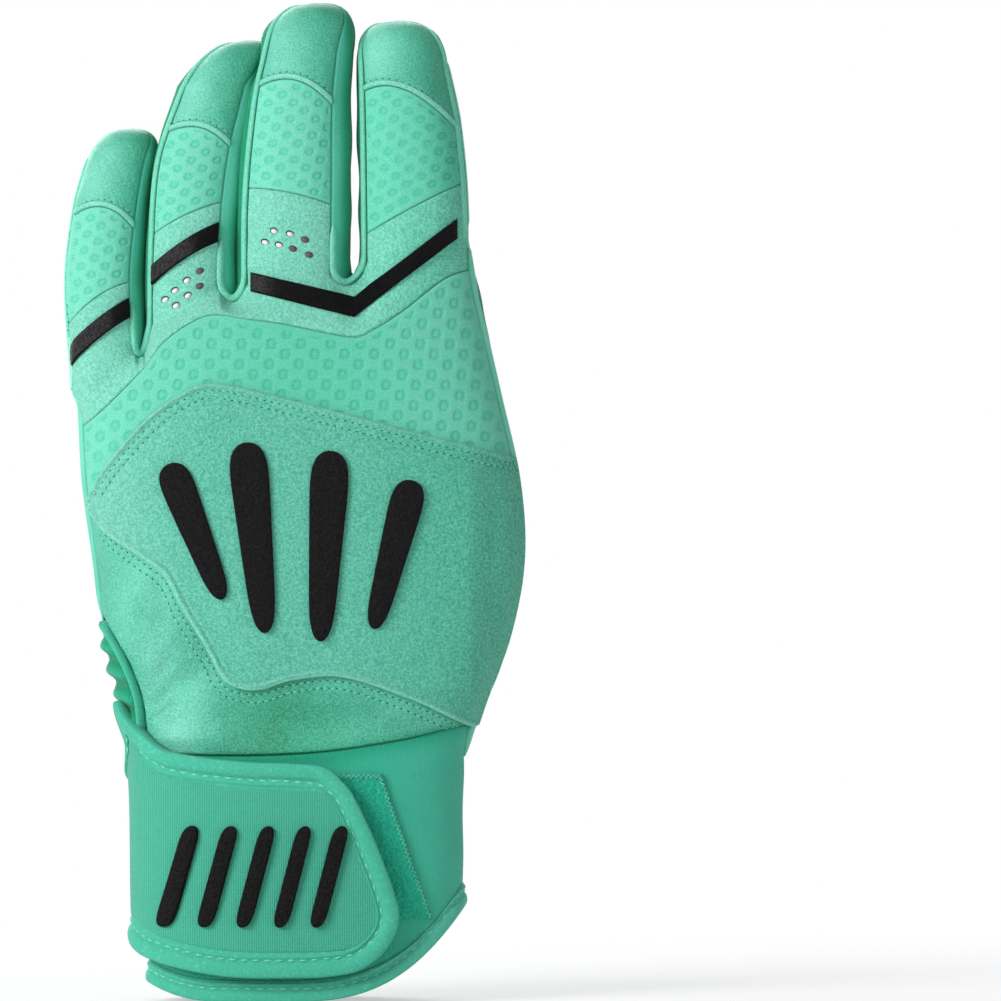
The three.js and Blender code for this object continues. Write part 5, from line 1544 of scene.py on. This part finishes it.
def strap_edge(inset, steps=110, corner=14):
    """Line round the strap's three free sides at a distance inside its edge, with rounded corners."""
    far, low, high = STRAP_LENGTH - inset, inset, STRAP_HEIGHT - inset
    r0, r1 = (max(r - inset, 0.8) for r in STRAP_CORNERS)
    turn = np.linspace(0, math.pi / 2, corner)
    run0, run1 = np.linspace(0, far - r0, steps), np.linspace(far - r1, 0, steps)
    rise = np.linspace(low + r0, high - r1, steps // 2)
    s0, h0 = far - r0 + r0 * np.sin(turn), low + r0 - r0 * np.cos(turn)
    s1, h1 = far - r1 + r1 * np.cos(turn), high - r1 + r1 * np.sin(turn)
    s = np.concatenate([run0, s0, 0 * rise + far, s1, run1])
    h = np.concatenate([0 * run0 + low, h0, rise, h1, 0 * run1 + high])
    return strap_at(s / STRAP_LENGTH, h / STRAP_HEIGHT)


def strap_inside(inset, u, v):
    """Places within the strap's edge line at an inset, as shares along and across it."""
    far, low, high = STRAP_LENGTH - inset, inset, STRAP_HEIGHT - inset
    h = lerp(low, high, v)
    for r, reach in zip(STRAP_CORNERS, (h - low, high - h)):
        r = max(r - inset, 0.8)
        far = far - r + np.sqrt(r ** 2 - np.clip(r - reach, 0, r) ** 2)
    return strap_at(u * far / STRAP_LENGTH, h / STRAP_HEIGHT)


BOUND_WIDTH = 5.8
WING_DROP = 1.7


def strap_base(p):
    """Height of the strap's underside; its wing lies close to the wrist."""
    return STRAP_BASE - WING_DROP * smooth((p[:, 2] - 54) / 10) * smooth((-28 - p[:, 0]) / 8)


u, v = mesh_grid(150, 80)
strap = Sheet(strap_inside(BOUND_WIDTH - 0.5, u, v))
knit_base = strap_base(strap.points)
panel("strap_knit", strap, knit_base, knit_base + STRAP_THICK, lambda p, d: sink(d, 0.15, 0.5),
      STRAP_KNIT, "knit", ["strap_panel"], "strap", uv=round_uv)
rim_rows = np.stack([strap_edge(inset) for inset in np.linspace(0, BOUND_WIDTH, 29)], axis=1)
strap_rim = Sheet(rim_rows)
rim_depth = distance_to(strap_edge(0), strap_rim.points)
rim_base = strap_base(strap_rim.points) - 0.3
panel("strap_edge_binding", strap_rim, rim_base, rim_base + STRAP_THICK,
      lambda p, d: bound_profile(rim_depth, STRAP_ROLL), BINDING, "binding", ["strap_binding"], "strap",
      round_edge=0.3)
strap_row = laid_on(strap_rim.tree, strap_edge(STRAP_ROLL + ROW_GAP), 0.1)
sew("strap_row_thread", [strap_row], THREAD, "binding", "strap", **EDGE_THREAD)
u, v = mesh_grid(40, 30, 0.3)
hooks = Sheet(strap_at(lerp(0.6, 0.92, u), lerp(0.34, 0.88, v)))
panel("hook_tape_strip", hooks, 1.6, 2.4, no_relief, HOOKS, "hook_tape", ["hook_patch"], "strap")
for k, foot in enumerate(STRAP_RIBS):
    u, v = mesh_grid(14, 60, 0.3)
    spread = STRAP_RIB["half"] * np.sqrt(1 - np.abs(2 * v - 1) ** 9 * 0.97)
    x = foot + STRAP_RIB["lean"] * v + (2 * u - 1) * spread
    rib = Sheet(hand_at(-1, x, lerp(STRAP_RIB["bottom"], STRAP_RIB["top"], v)))
    film(f"strap_rib_{k + 1}_moulding", rib, 4.2, 1.4, [f"strap_rib_{k + 1}"], "strap", 0.25)
u, v = mesh_grid(30, 60, 0.3)
turn = lerp(ANCHOR["start"], STRAP_ROOT_ANGLE - 0.3, u)
corner = smooth((turn - ANCHOR["corner_start"]) / ANCHOR["corner_run"])
anchor = Sheet(hand_round(turn, lerp(ANCHOR["bottom"], ANCHOR["top"] + ANCHOR["corner_rise"] * corner, v)))
height = np.clip(anchor.points[:, 1] / 12, 0, 1)
panel("strap_root", anchor, OVERLAY, lerp(STRAP_BASE + STRAP_THICK, OVERLAY + 0.7, height),
      lambda p, d: sink(d, 0.3, 0.6), STRAP_KNIT, "knit", ["strap_anchor"], uv=round_uv)
sew("strap_root_thread", rim_paths(anchor, 1.6, lambda p: p[1] > 6), THREAD, "binding", **EDGE_THREAD)


# Palm side, from one hide
def thumb_curve():
    stations = np.array(THUMB, float)
    ends = np.concatenate([[2 * stations[0] - stations[1]], stations, [2 * stations[-1] - stations[-2]]])

    def at(level):
        place = np.clip(level, 0, 1) * (len(stations) - 1)
        i = np.clip(np.floor(place).astype(int), 0, len(stations) - 2)
        t = (place - i)[..., None]
        p0, p1, p2, p3 = ends[i], ends[i + 1], ends[i + 2], ends[i + 3]
        return 0.5 * (2 * p1 + (p2 - p0) * t + (2 * p0 - 5 * p1 + 4 * p2 - p3) * t ** 2
                      + (3 * p1 - p0 - 3 * p2 + p3) * t ** 3)
    return at


thumb_path = thumb_curve()


def thumb_round(angle, level):
    step = 0.004
    spot = thumb_path(level)
    forward = (thumb_path(np.clip(level, 0, 1) + step) - thumb_path(np.clip(level, 0, 1) - step))[..., :3]
    forward /= np.linalg.norm(forward, axis=-1, keepdims=True)
    turn = np.clip(level - 1, 0, 1) * math.pi / 2
    centre = lerp(spot[..., :3], np.array(THUMB_TIP), np.sin(turn)[..., None])
    across = np.array([1.0, 0, 0]) - forward * forward[..., :1]
    across /= np.linalg.norm(across, axis=-1, keepdims=True)
    outward = np.cross(forward, across)
    half = spot[..., 3] * lerp(FINGER_TIP_WIDTH, 1, np.cos(turn))
    depth = spot[..., 3] * THUMB_DEPTH * np.cos(turn)
    return (centre + across * (half * np.cos(angle * RAD))[..., None]
            + outward * (depth * np.sin(angle * RAD))[..., None])


def thumb_root(angle):
    """Lowest level at which the thumb stands out of the hand, at angles round it."""
    levels = np.linspace(1, 0, 241)
    a, level = np.meshgrid(np.asarray(angle).reshape(-1), levels, indexing="ij")
    p = thumb_round(a, level)
    t = np.abs(share_of(p[..., 0], p[..., 2]))
    deep = np.abs(p[..., 1]) < np.abs(hand_y(np.sign(p[..., 1]), p[..., 0], p[..., 2])) + 0.3
    inside = (t < 1) & deep
    first = np.where(inside.any(axis=1), inside.argmax(axis=1), len(levels) - 1)
    return np.asarray(levels[first]).reshape(np.shape(angle))


def palm_sheet():
    grids = []
    line = seam(PALM_LOFT_FOOT)
    low = seam(PALM_CUFF_SEAM, SEAM_GAP)

    def down(tops):
        grids.extend([knuckle_loft(1, tops, line, 18), hand_columns(1, seam_share(tops), low, line, 80)])

    for i in reversed(range(4)):
        finger = FINGERS[i]
        front = finger_panel(i, "palm", 40, 80, lambda t: base_height(finger, t), None, 0.3)
        grids.append(front)
        down(front[:, 0])
        if i:
            s = np.linspace(1, 0, 13)
            drop = np.where((s > 0) & (s < 1), CROTCH_DROP, 0)
            down(crotch_point(i - 1, PALM_THUMB + ANGLE_GAP, PALM_ULNAR - ANGLE_GAP, s, drop))
    return Sheet(*grids)


# Creases of the palm leather: from and to, as x and height, half width, rise
PALM_CREASES = [
    ((46, 80), (16, 58), 2.4, -1.8),
    ((48, 74), (22, 56), 2.0, 1.6),
    ((44, 66), (28, 58), 1.6, -1.3),
    ((34, 88), (12, 68), 2.2, 1.1),
    ((22, 132), (8, 96), 2.6, -0.8),
    ((16, 142), (-12, 122), 2.4, -0.7),
    ((30, 152), (2, 140), 2.0, -0.8),
    ((-14, 154), (-46, 143), 1.8, -1.0),
    ((4, 92), (-8, 74), 2.4, 0.4),
]
FINGER_FOLDS = ((0.14, -0.9), (0.2, 0.5), (0.26, -0.7), (0.52, -1.0), (0.58, 0.5), (0.64, -0.6), (0.88, -0.4))
FLANGE = dict(width=2.0, rise=0.55, groove=0.45)
THENAR = dict(x=40, z=103, half_x=13.5, half_z=23, rise=6.6)


def flange(d):
    """Height of a sewn edge: the cut leather stands up outside its stitch row."""
    stand = FLANGE["rise"] * smooth((FLANGE["width"] - d) / 0.5)
    return stand - FLANGE["groove"] * np.exp(-((d - FLANGE["width"] - 0.1) / 0.5) ** 2)


def palm_relief(p, d):
    fold = 0.3 * ripple(p, 17, 91) + 0.14 * ripple(p, 7, 92)
    for start, stop, width, rise in PALM_CREASES:
        fold = fold + rise * crease(p, start, stop, width)
    for k, finger in enumerate(FINGERS):
        base, dome = finger["base"][1], finger["dome"]
        for n, (share, rise) in enumerate(FINGER_FOLDS):
            level = lerp(base, dome, share)
            x = along(finger["stations"], 1, level)
            lean = 1.5 * math.sin(3 * k + 2 * n)
            fold = fold + rise * crease(p, (x - 12, level - lean), (x + 12, level + lean), 1.0)
    mound = THENAR["rise"] * hump(p, THENAR["x"], THENAR["z"], THENAR["half_x"], THENAR["half_z"])
    mound = mound * smooth((51.5 - p[:, 0]) / 7) * smooth((p[:, 1] + 1) / 4)
    ends = 1
    for finger in FINGERS:
        near = np.abs(p[:, 0] - finger["tip_x"]) < 14
        ends = ends - 0.75 * near * smooth((p[:, 2] - finger["dome"] + 1) / 4)
    return flange(d) * np.maximum(ends, 0.25) + fold * smooth((d - 1.5) / 3) + mound


palm = palm_sheet()
# Tone paints shade in the groove inside the flange at the fingers.
panel("palm_hide", palm, *SKIN, palm_relief, PALM_LEATHER, "leather", ["palm_leather"],
      tone=lambda p, d: -0.35 * np.exp(-((d - FLANGE["width"]) / 0.7) ** 2) * (p[:, 2] > 146))
PALM_ROW = dict(pitch=2.0, length=1.15, radius=0.16)
CUT = dict(material=CUT_EDGE, slot="leather", sides=6, flat=1.0, ends=1.0)


def finger_at(p):
    """Finger whose middle line is nearest to a point."""
    return min(FINGERS, key=lambda f: abs(p[0] - along(f["stations"], 1, p[2])))


def on_finger_side(p):
    """True for points at the sides and ends of the fingers."""
    near = finger_at(p)
    side = abs(p[0] - along(near["stations"], 1, p[2])) / along(near["stations"], 2, p[2])
    outside = p[2] > 130 and (p[0] > 41 or p[0] < -49)
    return p[2] > near["dome"] - 4 or outside or (p[2] > max(near["base"]) + 3 and side > 0.5)


def on_finger_shaft(p):
    """True for points at the sides of the fingers, below their ends."""
    return on_finger_side(p) and p[2] < finger_at(p)["dome"] + 2


palm_rows = rim_paths(palm, FLANGE["width"], on_finger_side)
welt("palm_cut_edges", rim_paths(palm, 0.25, on_finger_shaft), 0.3, **CUT)
stitch_rows("palm_finger_rows", palm_rows, THREAD, "leather", **PALM_ROW)

u, v = mesh_grid(90, 110)
level = lerp(PALM_PATCH_EDGE[0][0], PALM_PATCH_EDGE[-1][0], v)
inner = 180 - angle_of(along(PALM_PATCH_EDGE, 1, level), level)
angle = lerp(inner, 180 + OUTER - 0.6, u)
x = hand_x(angle, level)
patch_sheet = Sheet(hand_round(angle, lerp(along(PALM_PATCH_BOTTOM, 1, x), along(PALM_PATCH_TOP, 1, x), v)))
patch_rise = lerp(1.3, 0.3, smooth((-30 - patch_sheet.points[:, 0]) / 14))


def on_palm(sheet):
    """Height of the palm leather's folds under a sheet's points."""
    return palm_relief(sheet.points, np.full(len(sheet.points), 30.0))


patch_base = on_palm(patch_sheet)
# Tone paints shade in the groove between the stitch rows.
panel("palm_patch_hide", patch_sheet, patch_base + 0.1, patch_base + patch_rise + 0.2,
      lambda p, d: groove(d, 1.5, 0.3) + groove(d, 3.2, 0.3), PALM_LEATHER, "leather", ["palm_patch"],
      tone=lambda p, d: -0.25 * np.exp(-((d - 2.5) / 1.3) ** 2))
u, v = mesh_grid(24, 40)
foot_x = lerp(WRIST_TAB["outer"][0], WRIST_TAB["inner"][0], u)
foot_z = lerp(WRIST_TAB["outer"][1], WRIST_TAB["inner"][1], u)
tab = Sheet(hand_at(1, lerp(foot_x, WRIST_TAB["tip"][0] + WRIST_TAB["tip_width"] * (0.5 - u), v),
                    lerp(foot_z, WRIST_TAB["tip"][1], v)))
tab_base = on_palm(tab)
panel("wrist_tab_suede", tab, tab_base + 0.1, tab_base + 1.4, no_relief, SUEDE, "suede", ["wrist_tab"])
patch_lines = [line for inset in (1.5, 3.3)
               for line in rim_paths(patch_sheet, inset, lambda p: p[0] > along(HAND, 1, p[2]) + 7)]
stitch_rows("palm_patch_rows", patch_lines, THREAD, "leather", **PALM_ROW)
patch_edge = rim_paths(patch_sheet, 0.2, lambda p: p[0] > along(HAND, 1, p[2]) + 5)
welt("palm_patch_cut_edge", patch_edge, 0.32, **CUT)
stitch_rows("wrist_tab_rows", rim_paths(tab, 1.0, lambda p: p[2] > 63), THREAD, "suede", **PALM_ROW)


# Thumb
def thumb_panel(start, stop, across, up, low, high):
    u, v = mesh_grid(across, up)
    angle = lerp(start + ANGLE_GAP, stop - ANGLE_GAP, u)
    return Sheet(thumb_round(angle, lerp(low(angle), high(angle), v)))


def gusset_top(angle):
    return np.maximum(thumb_root(angle) + 0.06, THUMB_GUSSET)


front_from, front_to = THUMB_FRONT
thumb_front = thumb_panel(front_from, front_to, 70, 90, thumb_root, lambda a: 2 + 0 * a)
thumb_back = thumb_panel(front_to, front_from + 360, 60, 70, gusset_top, lambda a: 2 + 0 * a)
gusset = thumb_panel(front_to, front_from + 360, 110, 90, thumb_root, gusset_top)
panel("thumb_front_hide", thumb_front, *SKIN,
      lambda p, d: flange(d) + (0.3 * ripple(p, 13, 95) + 0.12 * ripple(p, 6, 97)) * smooth(d / 4),
      PALM_LEATHER, "leather", ["thumb_front"])
THUMB_CLEAR_Z = 126


def on_thumb(p):
    """True for points of the thumb that stand clear of the hand."""
    return p[2] > THUMB_CLEAR_Z


stitch_rows("thumb_rows", rim_paths(thumb_front, FLANGE["width"], on_thumb), THREAD, "leather", **PALM_ROW)
welt("thumb_cut_edges", rim_paths(thumb_front, 0.25, on_thumb), 0.3, **CUT)
panel("thumb_back_suede", thumb_back, *SKIN,
      lambda p, d: sink(d, 0.35, 0.9) + 0.2 * ripple(p, 13, 96) * smooth(d / 4),
      DARK_SUEDE, "suede", ["thumb_back"])
THUMB_DIMPLES = dict(pitch=(4.4, 1.9), half=(0.75, 0.75), lean=0.3)
panel("thumb_gusset_mesh", gusset, *SKIN,
      lambda p, d: sink(d, 0.35, 0.9) + 0.4 * dimples(p, **THUMB_DIMPLES) * smooth((d - 0.6) / 0.8),
      MESH, "mesh", ["thumb_gusset"], uv=flat_uv)


# Camera at the photograph's angle: straight on from the back, with a long lens
FRAME_PIXELS = 1001
CAMERA_DISTANCE = 2.0
SENSOR = 36.0
camera_data = bpy.data.cameras.new("camera")
camera_data.sensor_fit = "HORIZONTAL"
camera_data.sensor_width = SENSOR
camera_data.lens = SENSOR * CAMERA_DISTANCE / (FRAME_PIXELS * PIXEL * MM)
camera_data.clip_end = 20
camera = bpy.data.objects.new("camera", camera_data)
centre_x, centre_z = from_pixel(FRAME_PIXELS / 2, FRAME_PIXELS / 2)
camera.location = (centre_x * MM, -CAMERA_DISTANCE, centre_z * MM)
camera.rotation_euler = (math.pi / 2, 0, 0)
bpy.context.collection.objects.link(camera)
bpy.context.scene.camera = camera


# Studio light
def lamp(name, place, target, size, watts):
    data = bpy.data.lights.new(name, "AREA")
    data.size = size
    data.energy = watts
    lamp_object = bpy.data.objects.new(name, data)
    lamp_object.location = place
    aim = Vector(target) - Vector(place)
    lamp_object.rotation_euler = aim.to_track_quat("-Z", "Y").to_euler()
    bpy.context.collection.objects.link(lamp_object)


MIDDLE = (0, 0, 0.12)
lamp("key", (-0.9, -0.75, 0.6), MIDDLE, 0.6, 14.5)
lamp("fill", (0.8, -1.0, 0.3), MIDDLE, 0.9, 3.2)
lamp("back", (-0.2, 1.0, 0.6), MIDDLE, 0.8, 10)


# Background: white where the camera, a mirror or glass sees it, and a plain soft light otherwise
def seen_directly(nodes, links):
    path = nodes.new("ShaderNodeLightPath")
    result = path.outputs["Is Camera Ray"]
    for ray in ("Is Glossy Ray", "Is Transmission Ray"):
        either = nodes.new("ShaderNodeMath")
        either.operation = "MAXIMUM"
        links.new(result, either.inputs[0])
        links.new(path.outputs[ray], either.inputs[1])
        result = either.outputs[0]
    return result


world = bpy.data.worlds.new("studio")
bpy.context.scene.world = world
world.use_nodes = True
nodes, links = world.node_tree.nodes, world.node_tree.links
plain, white = nodes["Background"], nodes.new("ShaderNodeBackground")
for light, strength in ((plain, 0.22), (white, 1.0)):
    light.inputs["Color"].default_value = (1, 1, 1, 1)
    light.inputs["Strength"].default_value = strength
mix = nodes.new("ShaderNodeMixShader")
links.new(seen_directly(nodes, links), mix.inputs[0])
links.new(plain.outputs[0], mix.inputs[1])
links.new(white.outputs[0], mix.inputs[2])
links.new(mix.outputs[0], nodes["World Output"].inputs[0])
bpy.context.scene.view_settings.view_transform = "Standard"

# Floor: pale, with the glove's shadow near it, and plain white further out
FLOOR_HALF = 3.0
FLOOR_WHITE = (0.1, 0.36)
FLOOR_LEAST_WHITE = 0.5
floor_mesh = bpy.data.meshes.new("floor")
floor_corners = [(FLOOR_HALF * a, FLOOR_HALF * b, 0) for a, b in ((-1, -1), (1, -1), (1, 1), (-1, 1))]
floor_mesh.from_pydata(floor_corners, [], [(0, 1, 2, 3)])
floor = bpy.data.objects.new("floor", floor_mesh)
floor.location = (0, 0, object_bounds()[0][2] - 0.0005)
floor_look = Finish("floor", 0.9)
floor_look.shader.inputs["Base Color"].default_value = (0.9, 0.9, 0.9, 1)
floor_place = floor_look.place.outputs["Object"]
reach = floor_look.add("ShaderNodeVectorMath", {"Vector": floor_place}, operation="LENGTH")
far_out = floor_look.remap(reach.outputs["Value"], *FLOOR_WHITE, FLOOR_LEAST_WHITE, 1.0)
floor_nodes, floor_links = floor_look.tree.nodes, floor_look.tree.links
share = floor_look.math("MULTIPLY", far_out, seen_directly(floor_nodes, floor_links))
glow = floor_look.add("ShaderNodeEmission", Strength=1.0)
floor_inputs = {0: share, 1: floor_look.shader.outputs[0], 2: glow.outputs[0]}
floor_mix = floor_look.add("ShaderNodeMixShader", floor_inputs)
floor_links.new(floor_mix.outputs[0], floor_nodes["Material Output"].inputs[0])
floor_mesh.materials.append(floor_look.material)
bpy.context.collection.objects.link(floor)
